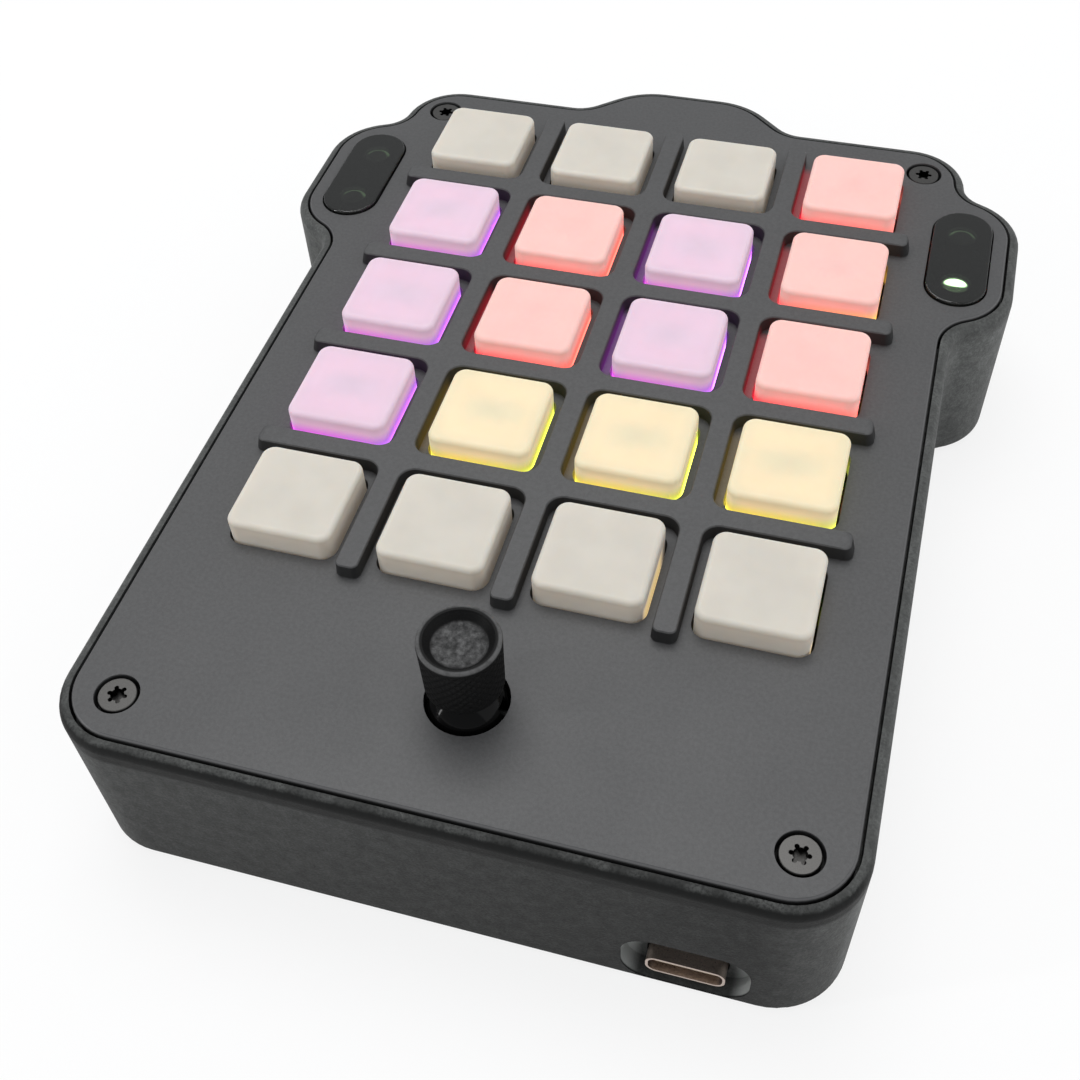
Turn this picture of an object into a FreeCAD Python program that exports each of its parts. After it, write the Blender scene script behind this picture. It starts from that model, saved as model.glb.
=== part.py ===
import FreeCAD, Part
import math
import os
import re
from FreeCAD import Vector

# Macro keypad: twenty lit keys in a ridged plate, a two-axis thumb stick and a shallow tub.
# Every sub-part is drawn from the middle of the key grid on the plate's top face, and its
# Placement carries it to the part's own frame, whose origin is under the middle of the case.

KEY_COLUMNS = 4
KEY_ROWS = 5
HALF_COLUMNS = (KEY_COLUMNS - 1) / 2
HALF_ROWS = (KEY_ROWS - 1) / 2

# Driving dimensions, in millimetres and degrees.
DIMENSIONS = [
    ("key_pitch", 19.05, "between the centres of neighbouring keys"),
    ("key_width", 13.4, "keycap, across the flats"),
    ("key_corner", 1.65, "keycap corner radius in plan"),
    ("key_edge", 0.7, "rounding of the keycap's top edge"),
    ("key_wall", 1.2, "keycap skirt thickness"),
    ("key_roof", 1.5, "keycap top thickness"),
    ("key_proud", 3.3, "keycap top above the plate"),
    ("key_height", 6.5, "keycap, top to skirt"),
    ("key_travel", 3.0, "key travel"),
    ("key_gap", 0.3, "between a keycap and its hole"),
    ("hole_corner", 2.0, "corner radius of a key hole"),
    ("stop_gap", 0.3, "skirt above the switch at full travel"),
    ("plate_thick", 3.0, "key plate"),
    ("plate_proud", 0.3, "plate's top above the rim"),
    ("plate_gap", 0.35, "slit between plate and rim"),
    ("plate_edge", 0.3, "bevel on the plate's top edge"),
    ("ridge_height", 2.0, "ridges above the plate"),
    ("ridge_width", 2.5, "flat top of a ridge"),
    ("ridge_bevel", 0.15, "bevel beside the flat top"),
    ("ridge_draft", 0.15, "lean of one ridge side"),
    ("ridge_past_rows", 8.8, "long ridges run this far past the end rows"),
    ("ridge_past_columns", 9.4, "cross ridges run this far past the end columns"),
    ("ridge_end_lean", 0.3, "extra lean of a cross ridge's end"),
    ("ridge_fillet", 1.9, "rounding where ridges meet, at the plate"),
    ("ridge_end_round", 1.0, "rounding of a ridge's end, at the plate"),
    ("side_margin", 15.425, "plate edge beyond the outer key columns"),
    ("front_margin", 36.0, "plate edge beyond the nearest key row"),
    ("back_margin", 14.7, "plate edge beyond the farthest key row"),
    ("front_corner", 7.2, "front corner radius"),
    ("back_corner", 7.0, "back corner radius"),
    ("shoulder_step", 1.1, "back half-width is this much less than the sides"),
    ("ear_step", 7.55, "ears stand out from the sides"),
    ("ear_round", 8.0, "outer radius of an ear"),
    ("ear_straight", 11.3, "straight side of an ear"),
    ("ear_hollow", 5.8, "hollow radius before and after an ear"),
    ("bump_height", 6.85, "swell in the middle of the back edge"),
    ("bump_flat", 9.0, "straight top of the swell"),
    ("bump_round", 10.0, "outer radius of the swell"),
    ("bump_hollow", 6.5, "hollow radius beside the swell"),
    ("bump_slope", 42.0, "slope of the swell's flanks, degrees"),
    ("rim", 1.5, "case wall beside the slit, measured from its middle"),
    ("ledge", 1.8, "ledge under the plate's edge, measured from the slit's middle"),
    ("floor_thick", 1.8, "case floor"),
    ("top_round", 1.2, "rounding of the rim"),
    ("bottom_round", 0.8, "rounding of the underside's edge"),
    ("boss_round", 3.2, "screw boss radius"),
    ("boss_depth", 8.2, "screw boss below the ledge"),
    ("web_width", 4.0, "webs between a front boss and the walls"),
    ("screw_side_inset", 5.9, "plate screws from the side edges"),
    ("screw_front_inset", 5.5, "front plate screws from the front edge"),
    ("screw_back_inset", 5.2, "back plate screws from the back edge"),
    ("screw_recess", 2.62, "recess radius round a screw head"),
    ("screw_head", 2.25, "screw head radius"),
    ("screw_head_height", 1.85, "screw head height"),
    ("screw_bevel", 0.12, "bevel on a screw head"),
    ("screw_sunk", 0.15, "screw head below the plate's face"),
    ("screw_shank", 1.22, "screw shank radius"),
    ("screw_length", 6.0, "screw shank length"),
    ("screw_play", 0.13, "round a shank in the plate"),
    ("socket_reach", 1.2, "six-lobe socket, centre to lobe tip"),
    ("socket_lobe", 0.27, "lobe radius"),
    ("socket_root", 0.795, "six-lobe socket, radius between the lobes"),
    ("socket_depth", 1.1, "socket depth"),
    ("insert_round", 1.9, "threaded insert radius"),
    ("insert_length", 5.0, "threaded insert length"),
    ("insert_room", 0.6, "hole left below an insert"),
    ("fit_play", 0.05, "radial play of a running fit"),
    ("housing_width", 13.8, "switch housing, square"),
    ("housing_height", 5.0, "switch housing"),
    ("housing_floor", 0.8, "under the switch's well"),
    ("housing_bevel", 0.6, "bevel on the housing's top"),
    ("stem_width", 9.4, "switch stem across"),
    ("stem_depth", 5.0, "switch stem front to back"),
    ("stem_height", 4.0, "switch stem"),
    ("stem_gap", 0.3, "between stem and housing"),
    ("boss_width", 8.0, "block under the keycap's roof"),
    ("boss_across", 4.0, "same block, front to back"),
    ("prong_width", 1.2, "keycap prong"),
    ("prong_depth", 3.0, "keycap prong, front to back"),
    ("prong_reach", 1.8, "prong into the stem"),
    ("prong_spacing", 5.7, "between the two prongs"),
    ("led_width", 2.8, "light source"),
    ("led_depth", 2.4, "light source, front to back"),
    ("led_height", 1.2, "light source"),
    ("led_offset", 5.25, "light source in front of the key's centre"),
    ("led_room", 0.3, "round a light source"),
    ("board_thick", 1.6, "circuit boards"),
    ("board_side", 7.6, "key board beyond the outer columns"),
    ("board_back", 8.3, "key board beyond the farthest row"),
    ("board_front", 7.2, "key board beyond the stick"),
    ("board_round", 2.0, "key board corners"),
    ("arm_margin", 0.15, "key board beyond an ear window"),
    ("arm_width", 12.0, "board arm that reaches into an ear"),
    ("standoff_round", 2.6, "board standoff radius"),
    ("pilot_round", 0.85, "standoff hole radius"),
    ("pilot_depth", 6.0, "standoff hole"),
    ("small_head", 1.9, "board screw head radius"),
    ("small_head_height", 1.3, "board screw head"),
    ("small_shank", 0.8, "board screw shank radius"),
    ("small_length", 6.5, "board screw shank"),
    ("small_play", 0.3, "round a board screw"),
    ("header_height", 4.0, "between the two boards"),
    ("header_width", 2.5, "header strip"),
    ("header_length", 30.5, "header strip"),
    ("header_inset", 0.03, "header strip from the board's edge"),
    ("controller_width", 17.8, "controller board"),
    ("controller_length", 33.0, "controller board"),
    ("controller_gap", 0.4, "controller board to the front wall"),
    ("chip_width", 7.0, "processor, square"),
    ("chip_height", 0.9, "processor"),
    ("port_width", 8.94, "port shell"),
    ("port_height", 3.26, "port shell"),
    ("port_corner", 1.28, "port shell corner radius"),
    ("port_wall", 0.3, "port shell sheet"),
    ("port_length", 7.35, "port shell"),
    ("port_sunk", 0.4, "port mouth behind the front face"),
    ("port_floor_gap", 0.24, "port above the case floor"),
    ("port_play", 0.18, "round the port where it passes the wall"),
    ("tongue_width", 6.9, "port tongue"),
    ("tongue_thick", 0.7, "port tongue"),
    ("tongue_length", 5.5, "port tongue"),
    ("tongue_base", 1.5, "block behind the tongue"),
    ("recess_width", 14.4, "recess round the port"),
    ("recess_height", 9.6, "recess round the port"),
    ("recess_corner", 3.7, "corner radius of the recess"),
    ("recess_depth", 2.3, "recess round the port"),
    ("recess_rise", 1.63, "recess centre above the port's"),
    ("foot_round", 4.9, "rubber foot radius"),
    ("foot_proud", 0.8, "foot below the case"),
    ("foot_sunk", 1.0, "foot inside its recess"),
    ("foot_bevel", 0.3, "bevel on a foot"),
    ("foot_play", 0.1, "round a foot"),
    ("foot_side_inset", 10.0, "feet from the sides"),
    ("foot_end_inset", 12.0, "feet from the front and back"),
    ("window_inset", 6.55, "window centre from an ear's edge"),
    ("window_width", 8.3, "window"),
    ("window_length", 20.5, "window"),
    ("window_proud", 0.45, "window above the plate"),
    ("window_gap", 0.2, "round a window"),
    ("window_edge", 0.25, "rounding of a window's top edge"),
    ("pipe_spacing", 10.7, "between the two light pipes of a window"),
    ("pipe_round", 1.95, "light pipe radius"),
    ("pipe_play", 0.1, "round a light pipe"),
    ("pipe_cover", 0.9, "window above a light pipe's bore"),
    ("pipe_sunk", 0.1, "light pipe's crown below the end of its bore"),
    ("pipe_crown", 0.5, "height of a light pipe's crown"),
    ("pipe_led_gap", 0.1, "light pipe above its light source"),
    ("stick_margin", 21.3, "stick axis beyond the nearest key row"),
    ("stick_width", 13.4, "stick housing, square"),
    ("stick_floor", 1.5, "stick housing floor"),
    ("stick_pocket", 2.2, "pocket in the plate's underside"),
    ("stick_side_gap", 0.3, "round the stick housing in its pocket"),
    ("stick_top_gap", 0.2, "over the stick housing"),
    ("pivot_depth", 0.8, "stick pivot below its housing's top"),
    ("ball_round", 4.7, "dome of the stick"),
    ("ball_wall", 0.8, "dome shell"),
    ("ball_gap", 0.15, "round the dome"),
    ("ball_skirt", 1.5, "dome below its pivot"),
    ("slot_width", 1.8, "slots in the dome for the yoke's arms"),
    ("slot_rise", 2.5, "slots above the pivot"),
    ("arm_round", 0.6, "yoke arm radius"),
    ("arm_reach", 6.5, "yoke arm from the pivot"),
    ("barrel_round", 1.2, "yoke barrel radius"),
    ("pin_round", 0.45, "lever pin radius"),
    ("cheek_gap", 0.1, "between barrel and fork"),
    ("cheek_thick", 1.0, "fork cheek"),
    ("cheek_width", 2.4, "fork cheek across"),
    ("hub_round", 2.6, "hub under the dome"),
    ("hub_level", 1.9, "hub's lower face above the pivot"),
    ("shaft_round", 1.5, "stick shaft radius"),
    ("stick_travel", 0.5, "stick press"),
    ("stick_stop_gap", 0.1, "shaft above the fork at full press"),
    ("shaft_grip", 5.0, "shaft inside the cap"),
    ("cap_level", 3.4, "cap's lower edge above the plate"),
    ("cap_height", 7.8, "stick cap"),
    ("cap_foot_round", 4.4, "cap radius at its foot"),
    ("cap_top_round", 4.6, "cap radius at its top"),
    ("cap_edge", 0.5, "bevels of the cap"),
    ("cap_lip", 0.3, "flat lip round the dish"),
    ("dish_round", 3.0, "radius of the dish's floor"),
    ("dish_depth", 1.0, "dish in the cap"),
]

# Levels and places that follow from the dimensions, measured from the plate's top face.
DERIVED = [
    ("hole_width", "=key_width + 2 * key_gap"),
    ("skirt_level", "=key_proud - key_height"),
    ("housing_top", "=skirt_level - key_travel - stop_gap"),
    ("stem_top", "=housing_top + key_travel"),
    ("board_level", "=housing_top - housing_height"),
    ("board_under", "=board_level - board_thick"),
    ("controller_top", "=board_under - header_height"),
    ("controller_under", "=controller_top - board_thick"),
    ("port_level", "=controller_under - port_height / 2"),
    ("floor_level", "=controller_under - port_height - port_floor_gap"),
    ("case_bottom", "=floor_level - floor_thick"),
    ("case_height", "=0 - plate_proud - case_bottom"),
    ("plate_level", "=foot_proud - case_bottom"),
    ("column_reach", f"={HALF_COLUMNS} * key_pitch"),
    ("row_reach", f"={HALF_ROWS} * key_pitch"),
    ("side_reach", "=column_reach + side_margin"),
    ("front_reach", "=row_reach + front_margin"),
    ("back_reach", "=row_reach + back_margin"),
    ("shoulder_reach", "=side_reach - shoulder_step"),
    ("ear_reach", "=side_reach + ear_step"),
    ("ear_middle", "=row_reach - key_pitch / 2"),
    ("board_screw_reach", "=row_reach - key_pitch / 2"),
    ("bump_reach", "=back_reach + bump_height"),
    ("grid_shift", "=(front_reach - bump_reach) / 2"),
    ("front_face", "=front_reach + rim"),
    ("screw_side", "=side_reach - screw_side_inset"),
    ("screw_front", "=front_reach - screw_front_inset"),
    ("screw_back", "=back_reach - screw_back_inset"),
    ("foot_side", "=side_reach - foot_side_inset"),
    ("foot_front", "=front_reach - foot_end_inset"),
    ("foot_back", "=back_reach - foot_end_inset"),
    ("window_side", "=ear_reach - window_inset"),
    ("port_side", "=column_reach"),
    ("port_mouth", "=front_face - port_sunk"),
    ("controller_front", "=front_reach - ledge - controller_gap"),
    ("header_spacing", "=controller_width - header_width - 2 * header_inset"),
    ("stick_front", "=row_reach + stick_margin"),
    ("stick_top", "=stick_pocket - plate_thick - stick_top_gap"),
    ("pivot_level", "=stick_top - pivot_depth"),
    ("stick_well", "=ball_round + ball_gap"),
    ("shaft_rest", "=hub_level + stick_travel + stick_stop_gap"),
    ("barrel_length", "=2 * (shaft_round + fit_play)"),
]

doc = FreeCAD.newDocument("macro_keypad")
sheet = doc.addObject("Spreadsheet::Sheet", "Sizes")
for row, (alias, number, meaning) in enumerate(DIMENSIONS, start=1):
    sheet.set(f"A{row}", meaning)
    sheet.set(f"B{row}", str(number))
    sheet.setAlias(f"B{row}", alias)
for row, (alias, formula) in enumerate(DERIVED, start=1):
    sheet.set(f"D{row}", formula)
    sheet.setAlias(f"D{row}", alias)
doc.recompute()
size = {entry[0]: float(sheet.get(entry[0])) for entry in DIMENSIONS + DERIVED}


def bind(thing, prop, rule):
    """Ties a property to the sheet; the rule names cells by their aliases."""
    named = re.sub(r"[a-z_]+", lambda word: "Sizes." + word.group(0) if word.group(0) in size
                   else word.group(0), rule)
    thing.setExpression(prop, named)


def place(thing, along="0", back="0", up="0", shifted=True):
    """Binds a sub-part's Placement, by default in the part's own frame."""
    bind(thing, "Placement.Base.x", along)
    bind(thing, "Placement.Base.y", back + " + grid_shift" if shifted else back)
    bind(thing, "Placement.Base.z", up + " + plate_level" if shifted else up)


def new_body(label):
    body = doc.addObject("PartDesign::Body", label)
    body.Label = label
    return body


def add_sketch(body, geometry, at=("0", "0", "0"), role="XY_Plane"):
    """A sketch on one of the body's origin planes, moved off it by bound offsets."""
    sketch = body.newObject("Sketcher::SketchObject", body.Label + "_sketch")
    plane = [item for item in body.Origin.OriginFeatures if item.Role == role][0]
    sketch.AttachmentSupport = (plane, [""])
    sketch.MapMode = "FlatFace"
    for axis, rule in zip("xyz", at):
        bind(sketch, f"AttachmentOffset.Base.{axis}", rule)
    sketch.addGeometry(geometry, False)
    return sketch


def add_pad(body, sketch, length, flipped=False):
    feature = body.newObject("PartDesign::Pad", body.Label + "_pad")
    feature.Profile = sketch
    bind(feature, "Length", length)
    feature.Reversed = flipped
    return feature


def add_pocket(body, sketch, length, flipped=False):
    """A cut against the sketch's normal, or along it when flipped."""
    feature = body.newObject("PartDesign::Pocket", body.Label + "_pocket")
    feature.Profile = sketch
    bind(feature, "Length", length)
    feature.Reversed = flipped
    return feature


def add_revolution(body, sketch):
    feature = body.newObject("PartDesign::Revolution", body.Label + "_revolution")
    feature.Profile = sketch
    feature.ReferenceAxis = (sketch, ["V_Axis"])
    feature.Angle = 360
    return feature


def add_edge_finish(body, kind, amount, chosen):
    """A Fillet or Chamfer on the edges of the body's last feature that pass the test."""
    doc.recompute()
    base = body.Tip
    names = [f"Edge{index}" for index, edge in enumerate(base.Shape.Edges, start=1) if chosen(edge)]
    feature = body.newObject("PartDesign::" + kind, body.Label + "_" + kind.lower())
    feature.Base = (base, names)
    bind(feature, "Radius" if kind == "Fillet" else "Size", amount)
    return feature


def edges_at_level(level):
    """Tests whether an edge lies wholly at one height."""
    def test(edge):
        box = edge.BoundBox
        return abs(box.ZMin - level) < 1e-4 and abs(box.ZMax - level) < 1e-4
    return test


def instance(master, label, along="0", back="0", up="0", shifted=True):
    """One more of a repeated sub-part, in its own place."""
    piece = doc.addObject("Part::Compound", label)
    piece.Label = label
    piece.Links = [master]
    place(piece, along, back, up, shifted)
    return piece


def group(label, pieces):
    """Identical sub-parts that share a node."""
    whole = doc.addObject("Part::Compound", label)
    whole.Label = label
    whole.Links = pieces
    return whole


# Plan geometry, as lists of sketch elements.

def segment(start, end):
    return Part.LineSegment(Vector(*start, 0), Vector(*end, 0))


def circle(radius, centre=(0, 0)):
    return [Part.Circle(Vector(*centre, 0), Vector(0, 0, 1), radius)]


def arc(centre, radius, start, end):
    """An arc from one angle to a larger one, in radians."""
    ring = Part.Circle(Vector(*centre, 0), Vector(0, 0, 1), radius)
    return Part.ArcOfCircle(ring, start, end)


def polygon(points):
    return [segment(start, end) for start, end in zip(points, points[1:] + points[:1])]


def rectangle(width, depth, centre=(0, 0)):
    along, back = centre
    left, right = along - width / 2, along + width / 2
    front, rear = back - depth / 2, back + depth / 2
    return polygon([(left, front), (right, front), (right, rear), (left, rear)])


def rounded_polygon(points, radii):
    """A closed polygon whose corners are tangent arcs of the given radii."""
    corners = []
    for index, (radius, here) in enumerate(zip(radii, points)):
        corner = Vector(*here, 0)
        back = (Vector(*points[index - 1], 0) - corner).normalize()
        ahead = (Vector(*points[(index + 1) % len(points)], 0) - corner).normalize()
        half_angle = back.getAngle(ahead) / 2
        inset = radius / math.tan(half_angle)
        middle = corner + (back + ahead).normalize() * (radius / math.sin(half_angle) - radius)
        corners.append((corner + back * inset, middle, corner + ahead * inset))
    loop = []
    for index, (start, middle, end) in enumerate(corners):
        loop.append(Part.Arc(start, middle, end))
        loop.append(Part.LineSegment(end, corners[(index + 1) % len(corners)][0]))
    return loop


def rounded_rectangle(width, depth, radius, centre=(0, 0)):
    points = [(centre[0] + right * width / 2, centre[1] + rear * depth / 2)
              for right, rear in ((-1, -1), (1, -1), (1, 1), (-1, 1))]
    return rounded_polygon(points, [radius] * len(points))


def obround(width, length, centre):
    """A slot shape with full round ends, its length along Y."""
    radius = width / 2
    half = length / 2 - radius
    along, back = centre
    return [arc((along, back + half), radius, 0, math.pi),
            arc((along, back - half), radius, math.pi, 2 * math.pi),
            segment((along - radius, back - half), (along - radius, back + half)),
            segment((along + radius, back - half), (along + radius, back + half))]


def polar(centre, radius, angle):
    return (centre[0] + radius * math.cos(angle), centre[1] + radius * math.sin(angle))


def case_outline(offset):
    """The outline of the slit between plate and case, moved outwards by an offset.

    The right half is worked out from the front's middle to the back's middle, as straight runs
    and tangent arcs about fixed centres, and the left half mirrors it.
    """
    half_turn, quarter_turn = math.pi, math.pi / 2
    ear_sum = size["ear_round"] + size["ear_hollow"]
    front_centre = (size["side_reach"] - size["front_corner"], size["front_corner"] - size["front_reach"])
    ear_x = size["ear_reach"] - size["ear_round"]
    ear_front = (ear_x, size["ear_middle"] - size["ear_straight"] / 2)
    ear_back = (ear_x, size["ear_middle"] + size["ear_straight"] / 2)
    waist_turn = math.acos(1 - size["ear_step"] / ear_sum)
    waist = polar(ear_front, ear_sum, -waist_turn)
    corner = (size["shoulder_reach"] - size["back_corner"], size["back_reach"] - size["back_corner"])

    # The shoulder's hollow touches both the ear's round and the back corner's.
    corner_sum = size["back_corner"] + size["ear_hollow"]
    apart = math.dist(ear_back, corner)
    base_angle = math.atan2(corner[1] - ear_back[1], corner[0] - ear_back[0])
    swing = math.acos((ear_sum ** 2 + apart ** 2 - corner_sum ** 2) / (2 * ear_sum * apart))
    ear_turn = base_angle - swing
    shoulder = polar(ear_back, ear_sum, ear_turn)
    corner_turn = math.atan2(shoulder[1] - corner[1], shoulder[0] - corner[0])

    # The swell of the back edge: a hollow, a straight flank and a round on each side.
    slope = math.radians(size["bump_slope"])
    rounds = size["bump_round"] + size["bump_hollow"]
    flank = (size["bump_height"] - rounds * (1 - math.cos(slope))) / math.sin(slope)
    swell = (size["bump_flat"] / 2, size["bump_reach"] - size["bump_round"])
    dip = (swell[0] + rounds * math.sin(slope) + flank * math.cos(slope),
           size["back_reach"] + size["bump_hollow"])

    hollow = size["ear_hollow"] - offset
    dip_round = size["bump_hollow"] - offset
    swell_round = size["bump_round"] + offset
    ear_round = size["ear_round"] + offset
    side = size["side_reach"] + offset
    ear = size["ear_reach"] + offset
    front = -size["front_reach"] - offset
    back = size["back_reach"] + offset
    top = size["bump_reach"] + offset

    right = [
        segment((0, front), (front_centre[0], front)),
        arc(front_centre, size["front_corner"] + offset, -quarter_turn, 0),
        segment((side, front_centre[1]), (side, waist[1])),
        arc(waist, hollow, half_turn - waist_turn, half_turn),
        arc(ear_front, ear_round, -waist_turn, 0),
        segment((ear, ear_front[1]), (ear, ear_back[1])),
        arc(ear_back, ear_round, 0, ear_turn),
        arc(shoulder, hollow, half_turn + corner_turn, half_turn + ear_turn),
        arc(corner, size["back_corner"] + offset, corner_turn, quarter_turn),
        segment((corner[0], back), (dip[0], back)),
        arc(dip, dip_round, 3 * quarter_turn - slope, 3 * quarter_turn),
        segment(polar(dip, dip_round, 3 * quarter_turn - slope),
                polar(swell, swell_round, quarter_turn - slope)),
        arc(swell, swell_round, quarter_turn - slope, quarter_turn),
        segment((swell[0], top), (0, top)),
    ]
    left = []
    for element in right:
        mirrored = element.copy()
        mirrored.mirror(Vector(0, 0, 0), Vector(0, 1, 0))
        left.append(mirrored)
    return right + left


def key_places():
    """Name, placement rules and centre of every key, the nearest row first."""
    pitch = size["key_pitch"]
    for row in range(KEY_ROWS):
        for column in range(KEY_COLUMNS):
            across, along = column - HALF_COLUMNS, row - HALF_ROWS
            rules = (f"({across}) * key_pitch", f"({along}) * key_pitch")
            yield f"r{row + 1}_c{column + 1}", rules, (across * pitch, along * pitch)


# Four mirrored places near the corners, named by their sizes: to the side, to the front, to the back.
PLATE_SCREW_SIZES = ("screw_side", "screw_front", "screw_back")
BOARD_SCREW_SIZES = ("key_pitch", "board_screw_reach", "board_screw_reach")
FOOT_SIZES = ("foot_side", "foot_front", "foot_back")


def four_places(names):
    side, front, back = (size[name] for name in names)
    return [(-side, -front), (side, -front), (-side, back), (side, back)]


def four_instances(label, master, names):
    """The group of one sub-part at its four places."""
    side, front, back = names
    spots = [(f"0 - {side}", f"0 - {front}"), (side, f"0 - {front}"), (f"0 - {side}", back), (side, back)]
    return group(label, [instance(master, f"{label}_piece", *spot) for spot in spots])


PLATE_SCREWS = four_places(PLATE_SCREW_SIZES)
BOARD_SCREWS = four_places(BOARD_SCREW_SIZES)
FEET = four_places(FOOT_SIZES)
WINDOWS = [(-size["window_side"], size["ear_middle"]), (size["window_side"], size["ear_middle"])]
STICK = (0, -size["stick_front"])
nodes = []


def finish(thing, placed=True):
    """Records a sub-part for export, and binds a body to the part's frame."""
    if placed:
        place(thing)
    nodes.append(thing)
    return thing


# Case tub: a walled tray with a ledge for the plate.

def make_case_tub():
    tub = new_body("case_tub")
    add_pad(tub, add_sketch(tub, case_outline(size["rim"]), ("0", "0", "case_bottom")), "case_height")
    add_edge_finish(tub, "Fillet", "top_round", edges_at_level(-size["plate_proud"]))
    add_edge_finish(tub, "Fillet", "bottom_round", edges_at_level(size["case_bottom"]))
    seat = add_sketch(tub, case_outline(size["plate_gap"] / 2), ("0", "0", "0 - plate_proud"))
    add_pocket(tub, seat, "plate_thick - plate_proud")
    cavity = add_sketch(tub, case_outline(-size["ledge"]), ("0", "0", "0 - plate_thick"))
    add_pocket(tub, cavity, "0 - plate_thick - floor_level")

    bosses = [ring for centre in PLATE_SCREWS for ring in circle(size["boss_round"], centre)]
    add_pad(tub, add_sketch(tub, bosses, ("0", "0", "0 - plate_thick")), "boss_depth", flipped=True)
    wall_middle = size["ledge"] / 2
    to_side = size["side_reach"] - wall_middle - size["screw_side"]
    to_front = size["front_reach"] - wall_middle - size["screw_front"]
    for side in (-1, 1):
        corner = (side * size["screw_side"], -size["screw_front"])
        side_web = rectangle(to_side, size["web_width"], (corner[0] + side * to_side / 2, corner[1]))
        front_web = rectangle(size["web_width"], to_front, (corner[0], corner[1] - to_front / 2))
        for web in (side_web, front_web):
            add_pad(tub, add_sketch(tub, web, ("0", "0", "0 - plate_thick")), "boss_depth", flipped=True)
    insert_holes = [ring for centre in PLATE_SCREWS
                    for ring in circle(size["insert_round"] + size["fit_play"], centre)]
    holes = add_sketch(tub, insert_holes, ("0", "0", "0 - plate_thick"))
    add_pocket(tub, holes, "insert_length + insert_room")

    standoffs = [ring for centre in BOARD_SCREWS for ring in circle(size["standoff_round"], centre)]
    add_pad(tub, add_sketch(tub, standoffs, ("0", "0", "floor_level")), "board_under - floor_level")
    pilots = [ring for centre in BOARD_SCREWS for ring in circle(size["pilot_round"], centre)]
    add_pocket(tub, add_sketch(tub, pilots, ("0", "0", "board_under")), "pilot_depth")

    recess = rounded_rectangle(size["recess_width"], size["recess_height"], size["recess_corner"])
    recess_place = ("port_side", "port_level + recess_rise", "front_face")
    add_pocket(tub, add_sketch(tub, recess, recess_place, "XZ_Plane"), "recess_depth")
    opening = rounded_rectangle(size["port_width"] + 2 * size["port_play"],
                                size["port_height"] + 2 * size["port_play"],
                                size["port_corner"] + size["port_play"])
    opening_sketch = add_sketch(tub, opening, ("port_side", "port_level", "front_face"), "XZ_Plane")
    add_pocket(tub, opening_sketch, "rim + ledge + controller_gap")

    foot_holes = [ring for centre in FEET for ring in circle(size["foot_round"] + size["foot_play"], centre)]
    add_pocket(tub, add_sketch(tub, foot_holes, ("0", "0", "case_bottom")), "foot_sunk", flipped=True)
    return finish(tub)


# Top plate: the ridged plate that the keys, windows, stick and screws pass through.

def ridge_loops(half_width, extra):
    """The ridge grid's outline at one height: one outer loop and one loop for each closed cell.

    The half width is half a ridge's breadth there, and extra is the half width lost since the
    plate's face: it enlarges the hollow corners and shrinks the ends.
    """
    pitch = size["key_pitch"]
    lines_x = [(index - (KEY_COLUMNS - 2) / 2) * pitch for index in range(KEY_COLUMNS - 1)]
    lines_y = [(index - (KEY_ROWS - 2) / 2) * pitch for index in range(KEY_ROWS - 1)]
    end_y = (KEY_ROWS - 1) / 2 * pitch + size["ridge_past_rows"] - extra
    end_lean = 1 + size["ridge_end_lean"] / size["ridge_draft"]
    end_x = (KEY_COLUMNS - 1) / 2 * pitch + size["ridge_past_columns"] - extra * end_lean
    side_x, side_y = lines_x[-1] + half_width, lines_y[-1] + half_width
    hollow = size["ridge_fillet"] + extra
    tip = size["ridge_end_round"] - extra

    points, radii = [], []

    def add(point, radius):
        if point not in points:
            points.append(point)
            radii.append(radius)

    for line in lines_x:
        add((line - half_width, -side_y), hollow)
        add((line - half_width, -end_y), tip)
        add((line + half_width, -end_y), tip)
        add((line + half_width, -side_y), hollow)
    for line in lines_y:
        add((side_x, line - half_width), hollow)
        add((end_x, line - half_width), tip)
        add((end_x, line + half_width), tip)
        add((side_x, line + half_width), hollow)
    for line in reversed(lines_x):
        add((line + half_width, side_y), hollow)
        add((line + half_width, end_y), tip)
        add((line - half_width, end_y), tip)
        add((line - half_width, side_y), hollow)
    for line in reversed(lines_y):
        add((-side_x, line + half_width), hollow)
        add((-end_x, line + half_width), tip)
        add((-end_x, line - half_width), tip)
        add((-side_x, line - half_width), hollow)

    loops = rounded_polygon(points, radii)
    cell = pitch - 2 * half_width
    for line_x in lines_x[:-1]:
        for line_y in lines_y[:-1]:
            centre = (line_x + pitch / 2, line_y + pitch / 2)
            loops += rounded_rectangle(cell, cell, hollow, centre)
    return loops


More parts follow.
